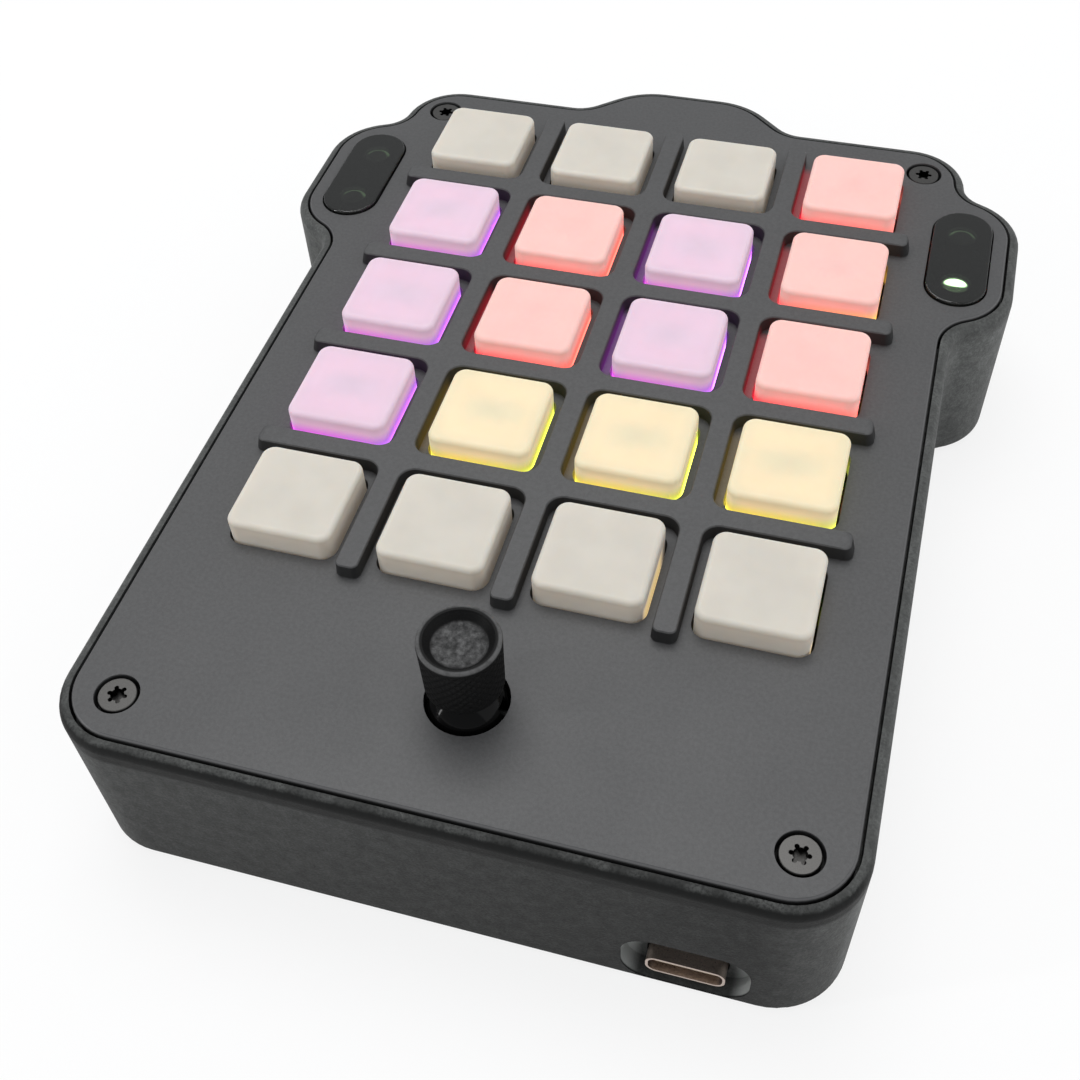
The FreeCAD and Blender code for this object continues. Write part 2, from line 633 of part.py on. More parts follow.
def make_top_plate():
    plate = new_body("top_plate")
    edge_line = case_outline(-size["plate_gap"] / 2)
    add_pad(plate, add_sketch(plate, edge_line, ("0", "0", "0 - plate_thick")), "plate_thick")
    add_edge_finish(plate, "Chamfer", "plate_edge", edges_at_level(0))

    top_half = size["ridge_width"] / 2
    shoulder_half = top_half + size["ridge_bevel"]
    foot_half = shoulder_half + size["ridge_draft"]
    foot = add_sketch(plate, ridge_loops(foot_half, 0))
    shoulder = add_sketch(plate, ridge_loops(shoulder_half, size["ridge_draft"]),
                          ("0", "0", "ridge_height - ridge_bevel"))
    crest = add_sketch(plate, ridge_loops(top_half, size["ridge_draft"] + size["ridge_bevel"]),
                       ("0", "0", "ridge_height"))
    ridges = plate.newObject("PartDesign::AdditiveLoft", "top_plate_ridges")
    ridges.Profile = foot
    ridges.Sections = [shoulder, crest]
    ridges.Ruled = True

    hole = size["hole_width"]
    key_holes = [element for name, rules, centre in key_places()
                 for element in rounded_rectangle(hole, hole, size["hole_corner"], centre)]
    add_pocket(plate, add_sketch(plate, key_holes), "plate_thick")
    window_width = size["window_width"] + 2 * size["window_gap"]
    window_length = size["window_length"] + 2 * size["window_gap"]
    windows = [element for centre in WINDOWS for element in obround(window_width, window_length, centre)]
    add_pocket(plate, add_sketch(plate, windows), "plate_thick")
    stick_pocket = rectangle(size["stick_width"] + 2 * size["stick_side_gap"],
                             size["stick_width"] + 2 * size["stick_side_gap"], STICK)
    underside = ("0", "0", "0 - plate_thick")
    add_pocket(plate, add_sketch(plate, stick_pocket, underside), "stick_pocket", flipped=True)
    add_pocket(plate, add_sketch(plate, circle(size["stick_well"], STICK)), "plate_thick")
    recesses = [ring for centre in PLATE_SCREWS for ring in circle(size["screw_recess"], centre)]
    add_pocket(plate, add_sketch(plate, recesses), "screw_sunk + screw_head_height")
    shank_hole = size["screw_shank"] + size["screw_play"]
    holes = [ring for centre in PLATE_SCREWS for ring in circle(shank_hole, centre)]
    add_pocket(plate, add_sketch(plate, holes), "plate_thick")
    return finish(plate)


# Screws, inserts and feet.

def make_plate_screws():
    screw = new_body("plate_screw_form")
    under_head = ("0", "0", "0 - screw_sunk - screw_head_height")
    add_pad(screw, add_sketch(screw, circle(size["screw_head"]), under_head), "screw_head_height")
    add_edge_finish(screw, "Chamfer", "screw_bevel", edges_at_level(-size["screw_sunk"]))
    add_pad(screw, add_sketch(screw, circle(size["screw_shank"]), under_head), "screw_length", flipped=True)
    face = ("0", "0", "0 - screw_sunk")
    add_pocket(screw, add_sketch(screw, circle(size["socket_root"]), face), "socket_depth")
    lobe_ring = circle(size["socket_lobe"], (size["socket_reach"] - size["socket_lobe"], 0))
    lobe = add_pocket(screw, add_sketch(screw, lobe_ring, face), "socket_depth")
    lobes = screw.newObject("PartDesign::PolarPattern", "plate_screw_lobes")
    lobes.Originals = [lobe]
    lobes.Axis = (lobe.Profile[0], ["N_Axis"])
    lobes.Angle = 360
    lobes.Occurrences = 6
    screw.Tip = lobes
    return finish(four_instances("plate_screws", screw, PLATE_SCREW_SIZES), placed=False)


def make_threaded_inserts():
    insert = new_body("threaded_insert_form")
    rings = circle(size["insert_round"]) + circle(size["screw_shank"] + size["fit_play"])
    add_pad(insert, add_sketch(insert, rings, ("0", "0", "0 - plate_thick")), "insert_length", flipped=True)
    return finish(four_instances("threaded_inserts", insert, PLATE_SCREW_SIZES), placed=False)


def make_rubber_feet():
    foot = new_body("rubber_foot_form")
    add_pad(foot, add_sketch(foot, circle(size["foot_round"]), ("0", "0", "case_bottom - foot_proud")),
            "foot_proud + foot_sunk")
    add_edge_finish(foot, "Chamfer", "foot_bevel", edges_at_level(size["case_bottom"] - size["foot_proud"]))
    return finish(four_instances("rubber_feet", foot, FOOT_SIZES), placed=False)


# Boards and what they carry.

def make_key_board():
    board = new_body("key_board")
    half_width = size["column_reach"] + size["board_side"]
    rear = size["row_reach"] + size["board_back"]
    front = -size["stick_front"] - size["board_front"]
    corners = [(-half_width, front), (half_width, front), (half_width, rear), (-half_width, rear)]
    main = rounded_polygon(corners, [size["board_round"]] * len(corners))
    level = ("0", "0", "board_under")
    add_pad(board, add_sketch(board, main, level), "board_thick")
    margin = 2 * size["arm_margin"]
    pads = [element for centre in WINDOWS
            for element in obround(size["window_width"] + margin, size["window_length"] + margin, centre)]
    add_pad(board, add_sketch(board, pads, level), "board_thick")
    bridge = rectangle(2 * size["window_side"], size["arm_width"], (0, size["ear_middle"]))
    add_pad(board, add_sketch(board, bridge, level), "board_thick")
    holes = [ring for centre in BOARD_SCREWS
             for ring in circle(size["small_shank"] + size["small_play"], centre)]
    add_pocket(board, add_sketch(board, holes, ("0", "0", "board_level")), "board_thick")
    return finish(board)


def make_board_screws():
    screw = new_body("board_screw_form")
    level = ("0", "0", "board_level")
    add_pad(screw, add_sketch(screw, circle(size["small_head"]), level), "small_head_height")
    add_edge_finish(screw, "Chamfer", "screw_bevel",
                    edges_at_level(size["board_level"] + size["small_head_height"]))
    add_pad(screw, add_sketch(screw, circle(size["small_shank"]), level), "small_length", flipped=True)
    return finish(four_instances("board_screws", screw, BOARD_SCREW_SIZES), placed=False)


def make_controller():
    middle = size["controller_length"] / 2 - size["controller_front"]
    board = new_body("controller_blank")
    plan = rectangle(size["controller_width"], size["controller_length"], (size["port_side"], middle))
    add_pad(board, add_sketch(board, plan, ("0", "0", "controller_under")), "board_thick")
    place(board)
    chip = new_body("controller_chip")
    plan = rectangle(size["chip_width"], size["chip_width"], (size["port_side"], middle))
    add_pad(chip, add_sketch(chip, plan, ("0", "0", "controller_under")), "chip_height", flipped=True)
    place(chip)
    finish(group("controller_board", [board, chip]), placed=False)

    strips = new_body("header_strip_form")
    plan = rectangle(size["header_width"], size["header_length"], (0, middle))
    add_pad(strips, add_sketch(strips, plan, ("0", "0", "controller_top")), "header_height")
    pair = [instance(strips, "header_strip", "port_side - header_spacing / 2"),
            instance(strips, "header_strip", "port_side + header_spacing / 2")]
    return finish(group("header_strips", pair), placed=False)


def make_port():
    mouth = ("port_side", "port_level", "port_mouth")
    shell = new_body("usb_shell")
    outer = rounded_rectangle(size["port_width"], size["port_height"], size["port_corner"])
    wall = 2 * size["port_wall"]
    inner = rounded_rectangle(size["port_width"] - wall, size["port_height"] - wall,
                              size["port_corner"] - size["port_wall"])
    add_pad(shell, add_sketch(shell, outer + inner, mouth, "XZ_Plane"), "port_length", flipped=True)
    finish(shell)

    tongue = new_body("usb_tongue")
    rear = ("port_side", "port_level", "port_mouth - port_length")
    fill = rounded_rectangle(size["port_width"] - wall - size["fit_play"],
                             size["port_height"] - wall - size["fit_play"],
                             size["port_corner"] - size["port_wall"])
    add_pad(tongue, add_sketch(tongue, fill, rear, "XZ_Plane"), "tongue_base")
    blade = rectangle(size["tongue_width"], size["tongue_thick"])
    add_pad(tongue, add_sketch(tongue, blade, rear, "XZ_Plane"), "tongue_base + tongue_length - port_wall")
    return finish(tongue)


def make_lights():
    led = new_body("led_form")
    add_pad(led, add_sketch(led, rectangle(size["led_width"], size["led_depth"]), ("0", "0", "board_level")),
            "led_height")
    lights = []
    for name, rules, centre in key_places():
        lights.append(instance(led, "key_led_" + name, rules[0], rules[1] + " - led_offset"))
    pipe = new_body("light_pipe_form")
    foot = size["board_level"] + size["led_height"] + size["pipe_led_gap"]
    crown = size["window_proud"] - size["pipe_cover"] - size["pipe_sunk"]
    rim_level = crown - size["pipe_crown"]
    radius = size["pipe_round"]
    tilt = radius / math.sqrt(2)
    sphere = (radius ** 2 + size["pipe_crown"] ** 2) / (2 * size["pipe_crown"])
    bulge = crown - sphere + math.sqrt(sphere ** 2 - tilt ** 2)
    profile = [segment((0, foot), (radius, foot)),
               segment((radius, foot), (radius, rim_level)),
               Part.Arc(Vector(radius, rim_level, 0), Vector(tilt, bulge, 0), Vector(0, crown, 0)),
               segment((0, crown), (0, foot))]
    add_revolution(pipe, add_sketch(pipe, profile, role="XZ_Plane"))
    pipes = []
    for side in ("window_side", "0 - window_side"):
        for spot in ("ear_middle - pipe_spacing / 2", "ear_middle + pipe_spacing / 2"):
            lights.append(instance(led, "ear_led", side, spot))
            pipes.append(instance(pipe, "light_pipe", side, spot))
    finish(group("board_leds", lights), placed=False)
    return finish(group("light_pipes", pipes), placed=False)


def make_ear_windows():
    window = new_body("ear_window_form")
    plan = obround(size["window_width"], size["window_length"], (0, 0))
    add_pad(window, add_sketch(window, plan, ("0", "0", "board_level")), "window_proud - board_level")
    add_edge_finish(window, "Fillet", "window_edge", edges_at_level(size["window_proud"]))
    bore = size["pipe_round"] + size["pipe_play"]
    bores = circle(bore, (0, -size["pipe_spacing"] / 2)) + circle(bore, (0, size["pipe_spacing"] / 2))
    add_pocket(window, add_sketch(window, bores, ("0", "0", "board_level")),
               "window_proud - pipe_cover - board_level", flipped=True)
    pair = [instance(window, "ear_window", "window_side", "ear_middle"),
            instance(window, "ear_window", "0 - window_side", "ear_middle")]
    return finish(group("ear_windows", pair), placed=False)


# Keys: a hollow cap on a sprung stem in a low switch.

def make_keys():
    housing = new_body("switch_housing_form")
    add_pad(housing, add_sketch(housing, rectangle(size["housing_width"], size["housing_width"]),
                                ("0", "0", "board_level")), "housing_height")
    add_edge_finish(housing, "Chamfer", "housing_bevel", edges_at_level(size["housing_top"]))
    top = ("0", "0", "housing_top")
    well = rectangle(size["stem_width"] + 2 * size["stem_gap"], size["stem_depth"] + 2 * size["stem_gap"])
    add_pocket(housing, add_sketch(housing, well, top), "housing_height - housing_floor")
    notch_depth = size["housing_width"] / 2 - size["led_offset"] + size["led_depth"] / 2 + size["led_room"]
    notch = rectangle(size["led_width"] + 2 * size["led_room"], notch_depth,
                      (0, notch_depth / 2 - size["housing_width"] / 2))
    add_pocket(housing, add_sketch(housing, notch, top), "housing_height")

    stem = new_body("key_stem_form")
    stem_top = ("0", "0", "stem_top")
    stem_plan = rectangle(size["stem_width"], size["stem_depth"])
    add_pad(stem, add_sketch(stem, stem_plan, stem_top), "stem_height", flipped=True)
    spots = [(-size["prong_spacing"] / 2, 0), (size["prong_spacing"] / 2, 0)]
    play = 2 * size["fit_play"]
    slots = [element for spot in spots
             for element in rectangle(size["prong_width"] + play, size["prong_depth"] + play, spot)]
    add_pocket(stem, add_sketch(stem, slots, stem_top), "prong_reach + stop_gap")

    cap = new_body("keycap_form")
    skirt = ("0", "0", "skirt_level")
    add_pad(cap, add_sketch(cap, rounded_rectangle(size["key_width"], size["key_width"], size["key_corner"]),
                            skirt), "key_height")
    add_edge_finish(cap, "Fillet", "key_edge", edges_at_level(size["key_proud"]))
    inner_width = size["key_width"] - 2 * size["key_wall"]
    inner_corner = size["key_corner"] / 2
    inside = rounded_rectangle(inner_width, inner_width, inner_corner)
    add_pocket(cap, add_sketch(cap, inside, skirt), "key_height - key_roof", flipped=True)
    roof = ("0", "0", "key_proud - key_roof")
    add_pad(cap, add_sketch(cap, rectangle(size["boss_width"], size["boss_across"]), roof),
            "key_proud - key_roof - stem_top", flipped=True)
    prongs = [element for spot in spots
              for element in rectangle(size["prong_width"], size["prong_depth"], spot)]
    add_pad(cap, add_sketch(cap, prongs, stem_top), "prong_reach", flipped=True)

    housings = []
    for name, rules, centre in key_places():
        housings.append(instance(housing, "switch_housing_" + name, *rules))
        finish(instance(cap, "keycap_" + name, *rules), placed=False)
        finish(instance(stem, "key_stem_" + name, *rules), placed=False)
    return finish(group("switch_housings", housings), placed=False)


# Thumb stick: a yoke in the housing, a dome that forks over the yoke, and a cap that presses.

def make_stick_housing():
    housing = new_body("stick_housing")
    add_pad(housing, add_sketch(housing, rectangle(size["stick_width"], size["stick_width"]),
                                ("0", "0", "board_level")), "stick_top - board_level")
    top = ("0", "0", "stick_top")
    add_pocket(housing, add_sketch(housing, circle(size["stick_well"]), top),
               "stick_top - board_level - stick_floor")
    bearing = size["arm_round"] + size["fit_play"]
    notch = [arc((0, 0), bearing, math.pi, 2 * math.pi),
             segment((-bearing, 0), (-bearing, size["pivot_depth"])),
             segment((-bearing, size["pivot_depth"]), (bearing, size["pivot_depth"])),
             segment((bearing, size["pivot_depth"]), (bearing, 0))]
    sketch = add_sketch(housing, notch, ("0", "pivot_level", "stick_width / 2"), "YZ_Plane")
    add_pocket(housing, sketch, "stick_width")
    place(housing, "0", "0 - stick_front")
    return finish(housing, placed=False)


def make_stick_yoke():
    yoke = new_body("stick_yoke")
    arms = add_sketch(yoke, circle(size["arm_round"]), ("0", "pivot_level", "0 - arm_reach"), "YZ_Plane")
    add_pad(yoke, arms, "2 * arm_reach")
    barrel = add_sketch(yoke, circle(size["barrel_round"]), ("0", "pivot_level", "0 - barrel_length / 2"),
                        "XZ_Plane")
    add_pad(yoke, barrel, "barrel_length")
    bore = add_sketch(yoke, circle(size["pin_round"] + size["fit_play"]),
                      ("0", "pivot_level", "barrel_length / 2"), "XZ_Plane")
    add_pocket(yoke, bore, "barrel_length")
    place(yoke, "0", "0 - stick_front")
    return finish(yoke, placed=False)


def make_stick_dome():
    """The dome's profile is a spherical shell with a bored hub; a fork and pin hang below it."""
    dome = new_body("stick_dome")
    outer, inner = size["ball_round"], size["ball_round"] - size["ball_wall"]
    bore, hub = size["shaft_round"] + size["fit_play"], size["hub_round"]
    skirt, hub_level = -size["ball_skirt"], size["hub_level"]

    def on_ball(radius, across):
        return (across, math.sqrt(radius ** 2 - across ** 2))

    def at_height(radius, height):
        return (math.sqrt(radius ** 2 - height ** 2), height)

    outer_foot, inner_foot = at_height(outer, skirt), at_height(inner, skirt)
    outer_top, inner_top = on_ball(outer, bore), on_ball(inner, hub)
    profile = [Part.Arc(Vector(*outer_foot, 0), Vector(outer, 0, 0), Vector(*outer_top, 0)),
               segment(outer_top, (bore, hub_level)),
               segment((bore, hub_level), (hub, hub_level)),
               segment((hub, hub_level), inner_top),
               Part.Arc(Vector(*inner_top, 0), Vector(inner, 0, 0), Vector(*inner_foot, 0)),
               segment(inner_foot, outer_foot)]
    add_revolution(dome, add_sketch(dome, profile, ("0", "pivot_level", "0"), "XZ_Plane"))
    slot_height = size["slot_rise"] + size["ball_skirt"]
    slot = rectangle(size["slot_width"], slot_height, (0, size["slot_rise"] - slot_height / 2))
    for reach, flipped in (("ball_round", False), ("0 - ball_round", True)):
        sketch = add_sketch(dome, slot, ("0", "pivot_level", reach), "YZ_Plane")
        add_pocket(dome, sketch, "ball_round - hub_round", flipped)
    gap = size["barrel_length"] / 2 + size["cheek_gap"]
    cheeks = [element for side in (-1, 1)
              for element in rectangle(size["cheek_width"], size["cheek_thick"],
                                       (0, side * (gap + size["cheek_thick"] / 2)))]
    cheek_sketch = add_sketch(dome, cheeks, ("0", "0", "pivot_level - cheek_width / 2"))
    add_pad(dome, cheek_sketch, "cheek_width / 2 + hub_level + cheek_thick / 2")
    pin = add_sketch(dome, circle(size["pin_round"]),
                     ("0", "pivot_level", "0 - barrel_length / 2 - cheek_gap - cheek_thick / 2"), "XZ_Plane")
    add_pad(dome, pin, "barrel_length + 2 * cheek_gap + cheek_thick")
    place(dome, "0", "0 - stick_front")
    return finish(dome, placed=False)


def make_stick_shaft_and_cap():
    shaft = new_body("stick_shaft")
    add_pad(shaft, add_sketch(shaft, circle(size["shaft_round"]), ("0", "0", "pivot_level + shaft_rest")),
            "cap_level + shaft_grip - pivot_level - shaft_rest")
    place(shaft, "0", "0 - stick_front")
    finish(shaft, placed=False)

    cap = new_body("stick_cap")
    foot, top, edge = size["cap_level"], size["cap_level"] + size["cap_height"], size["cap_edge"]
    wide_foot, wide_top, dish = size["cap_foot_round"], size["cap_top_round"], top - size["dish_depth"]
    lip, dish_rim = wide_top - edge, wide_top - edge - size["cap_lip"]
    bore, bore_top = size["shaft_round"] + size["fit_play"], foot + size["shaft_grip"]
    profile = polygon([(bore, foot), (wide_foot - edge, foot), (wide_foot, foot + edge),
                       (wide_top, top - edge), (lip, top), (dish_rim, top),
                       (size["dish_round"], dish), (0, dish), (0, bore_top), (bore, bore_top)])
    add_revolution(cap, add_sketch(cap, profile, role="XZ_Plane"))
    place(cap, "0", "0 - stick_front")
    return finish(cap, placed=False)


make_case_tub()
make_top_plate()
make_plate_screws()
make_threaded_inserts()
make_rubber_feet()
make_key_board()
make_board_screws()
make_controller()
make_port()
make_lights()
make_ear_windows()
make_keys()
make_stick_housing()
make_stick_yoke()
make_stick_dome()
make_stick_shaft_and_cap()
doc.recompute()

for item in doc.Objects:
    if "Invalid" in item.State or "Error" in item.State:
        raise RuntimeError(f"{item.Label} failed: {item.State}")
for node in nodes:
    if node.Shape.isNull() or not node.Shape.isValid() or not node.Shape.Solids:
        raise RuntimeError(f"{node.Label} has no valid solid")

os.makedirs("parts", exist_ok=True)
for node in nodes:
    solids = node.Shape.Solids
    shape = solids[0] if len(solids) == 1 else Part.makeCompound(solids)
    shape.exportStep(f"parts/{node.Label}.step")
    box = node.Shape.BoundBox
    print(f"{node.Label}: {len(solids)} solids, {node.Shape.Volume:.1f} mm3, "
          f"x {box.XMin:.2f} {box.XMax:.2f}, "
          f"y {box.YMin:.2f} {box.YMax:.2f}, z {box.ZMin:.2f} {box.ZMax:.2f}")
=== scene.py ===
import math

import bpy
import numpy as np
from mathutils import Euler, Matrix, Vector


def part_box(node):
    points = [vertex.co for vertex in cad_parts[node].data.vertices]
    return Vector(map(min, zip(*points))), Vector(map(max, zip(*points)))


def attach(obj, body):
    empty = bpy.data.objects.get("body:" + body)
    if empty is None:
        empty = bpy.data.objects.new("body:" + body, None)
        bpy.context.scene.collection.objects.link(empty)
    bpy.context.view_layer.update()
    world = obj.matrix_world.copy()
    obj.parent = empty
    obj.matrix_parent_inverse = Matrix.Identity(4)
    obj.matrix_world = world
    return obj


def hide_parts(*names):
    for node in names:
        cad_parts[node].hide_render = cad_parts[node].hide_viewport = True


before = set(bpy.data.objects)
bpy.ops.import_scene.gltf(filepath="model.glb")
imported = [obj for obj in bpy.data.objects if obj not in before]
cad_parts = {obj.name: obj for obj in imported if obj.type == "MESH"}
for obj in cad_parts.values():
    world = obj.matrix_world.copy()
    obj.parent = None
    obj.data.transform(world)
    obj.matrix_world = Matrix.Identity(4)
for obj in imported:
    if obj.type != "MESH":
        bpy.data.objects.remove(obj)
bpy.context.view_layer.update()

bl_info = {
    "name": "Macro keypad looks",
    "version": (1, 0, 0),
    "blender": (4, 5, 0),
    "location": "View3D > Sidebar > Keypad",
    "description": "Dresses the packed keypad: case, plate, lit keys, ear windows, thumb stick and port",
    "category": "Object",
}

MM = 0.001
COLUMNS, ROWS = 4, 5

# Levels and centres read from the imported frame, in metres.
CASE_LOW, CASE_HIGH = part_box("case_tub")
KEY_LOW, KEY_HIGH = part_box("keycap_r1_c1")
LAST_LOW, LAST_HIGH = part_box(f"keycap_r{ROWS}_c{COLUMNS}")
STICK_LOW, STICK_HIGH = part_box("stick_cap")
SHAFT_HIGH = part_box("stick_shaft")[1]
PIPE_LOW, PIPE_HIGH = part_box("light_pipes")
PORT_LOW, PORT_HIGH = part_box("usb_shell")
SCREW_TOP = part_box("plate_screws")[1].z
FIRST_KEY = (KEY_LOW + KEY_HIGH) / 2
LAST_KEY = (LAST_LOW + LAST_HIGH) / 2
PITCH = (LAST_KEY.x - FIRST_KEY.x) / (COLUMNS - 1)
KEY_WIDTH = KEY_HIGH.x - KEY_LOW.x
STICK_AXIS = (STICK_LOW + STICK_HIGH) / 2
RIM_TOP = CASE_HIGH.z
RIDGE_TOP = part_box("top_plate")[1].z

# Sizes that the boxes don't give: how far the plate stands above the rim, a light pipe's radius, the
# depth of a screw's socket, and what counts as one point or one smooth edge when a piece is shaded.
PLATE_FACE = RIM_TOP + 0.3 * MM
PIPE_ROUND = 1.95 * MM
SOCKET_DEPTH = 1.1 * MM
WELD_REACH = 0.002 * MM
SHARP_ANGLE = math.radians(32)

# Which keys are lit, the nearest row first: p pink, o pink with an orange right side, v violet,
# y yellow, l unlit with yellow light leaking past its right side, and a dot for unlit.
LIT_ROWS = ("..ll", "vyyy", "vpvp", "vpvo", "...p")


# Material building

class Recipe:
    """One material's node tree, with short calls for the nodes that the finishes need."""

    def __init__(self, name):
        self.material = bpy.data.materials.new(name)
        self.material.use_nodes = True
        self.tree = self.material.node_tree
        self.tree.nodes.clear()
        self.output = self.add("ShaderNodeOutputMaterial")
        self.shader = self.add("ShaderNodeBsdfPrincipled")
        self.join(self.shader.outputs["BSDF"], self.output.inputs["Surface"])
        self.place = self.add("ShaderNodeTexCoord").outputs["Object"]

    def add(self, kind, **settings):
        node = self.tree.nodes.new(kind)
        for key, value in settings.items():
            setattr(node, key, value)
        return node

    def join(self, source, target):
        self.tree.links.new(source, target)

    def feed(self, target, value):
        """Gives a socket a number, a colour or another node's output."""
        if isinstance(value, bpy.types.NodeSocket):
            self.join(value, target)
        else:
            target.default_value = value

    def principled(self, **values):
        for key, value in values.items():
            self.feed(self.shader.inputs[key.replace("_", " ")], value)

    def maths(self, operation, first, second=0.0, third=0.0):
        node = self.add("ShaderNodeMath", operation=operation)
        for socket, value in zip(node.inputs, (first, second, third)):
            self.feed(socket, value)
        return node.outputs[0]

    def plus(self, first, second):
        return self.maths("ADD", first, second)

    def less(self, first, second):
        return self.maths("SUBTRACT", first, second)

    def distance(self, across, along):
        """The root of the sum of two squares."""
        return self.maths("SQRT", self.plus(self.product(across, across), self.product(along, along)))

    def product(self, *factors):
        result = factors[0]
        for factor in factors[1:]:
            result = self.maths("MULTIPLY", result, factor)
        return result

    def split(self, vector):
        node = self.add("ShaderNodeSeparateXYZ")
        self.join(vector, node.inputs[0])
        return node.outputs

    def combine(self, x, y, z):
        node = self.add("ShaderNodeCombineXYZ")
        for socket, value in zip(node.inputs, (x, y, z)):
            self.feed(socket, value)
        return node.outputs[0]

    def noise(self, size, detail=2.0, roughness=0.5, vector=None):
        """Noise whose features are about the given size in metres."""
        node = self.add("ShaderNodeTexNoise")
        self.join(vector or self.place, node.inputs["Vector"])
        node.inputs["Scale"].default_value = 1.0 / size
        node.inputs["Detail"].default_value = detail
        node.inputs["Roughness"].default_value = roughness
        return node.outputs["Fac"]

    def cells(self, size):
        """Distance to the nearest of many scattered points, in cells of about the given size."""
        node = self.add("ShaderNodeTexVoronoi")
        self.join(self.place, node.inputs["Vector"])
        node.inputs["Scale"].default_value = 1.0 / size
        return node.outputs["Distance"]

    def ramp(self, value, stops):
        node = self.add("ShaderNodeValToRGB")
        elements = node.color_ramp.elements
        while len(elements) < len(stops):
            elements.new(0.5)
        for element, (position, colour) in zip(elements, stops):
            element.position = position
            element.color = colour
        self.join(value, node.inputs[0])
        return node.outputs["Color"]

    def span(self, value, low, high, new_low=0.0, new_high=1.0, smooth=False):
        node = self.add("ShaderNodeMapRange")
        if smooth:
            node.interpolation_type = "SMOOTHSTEP"
        self.feed(node.inputs["Value"], value)
        for key, number in zip(("From Min", "From Max", "To Min", "To Max"), (low, high, new_low, new_high)):
            node.inputs[key].default_value = number
        return node.outputs["Result"]

    def mix(self, factor, first, second, mode="MIX"):
        node = self.add("ShaderNodeMix", data_type="RGBA", blend_type=mode)
        self.feed(node.inputs["Factor"], factor)
        self.feed(node.inputs[6], first)
        self.feed(node.inputs[7], second)
        return node.outputs[2]

    def bump(self, height, depth, strength=1.0, under=None):
        node = self.add("ShaderNodeBump")
        node.inputs["Strength"].default_value = strength
        node.inputs["Distance"].default_value = depth
        self.join(height, node.inputs["Height"])
        if under is not None:
            self.join(under, node.inputs["Normal"])
        return node.outputs["Normal"]


def grey(level):
    return (level, level, level, 1.0)


def tone(colour, factor):
    return (colour[0] * factor, colour[1] * factor, colour[2] * factor, 1.0)


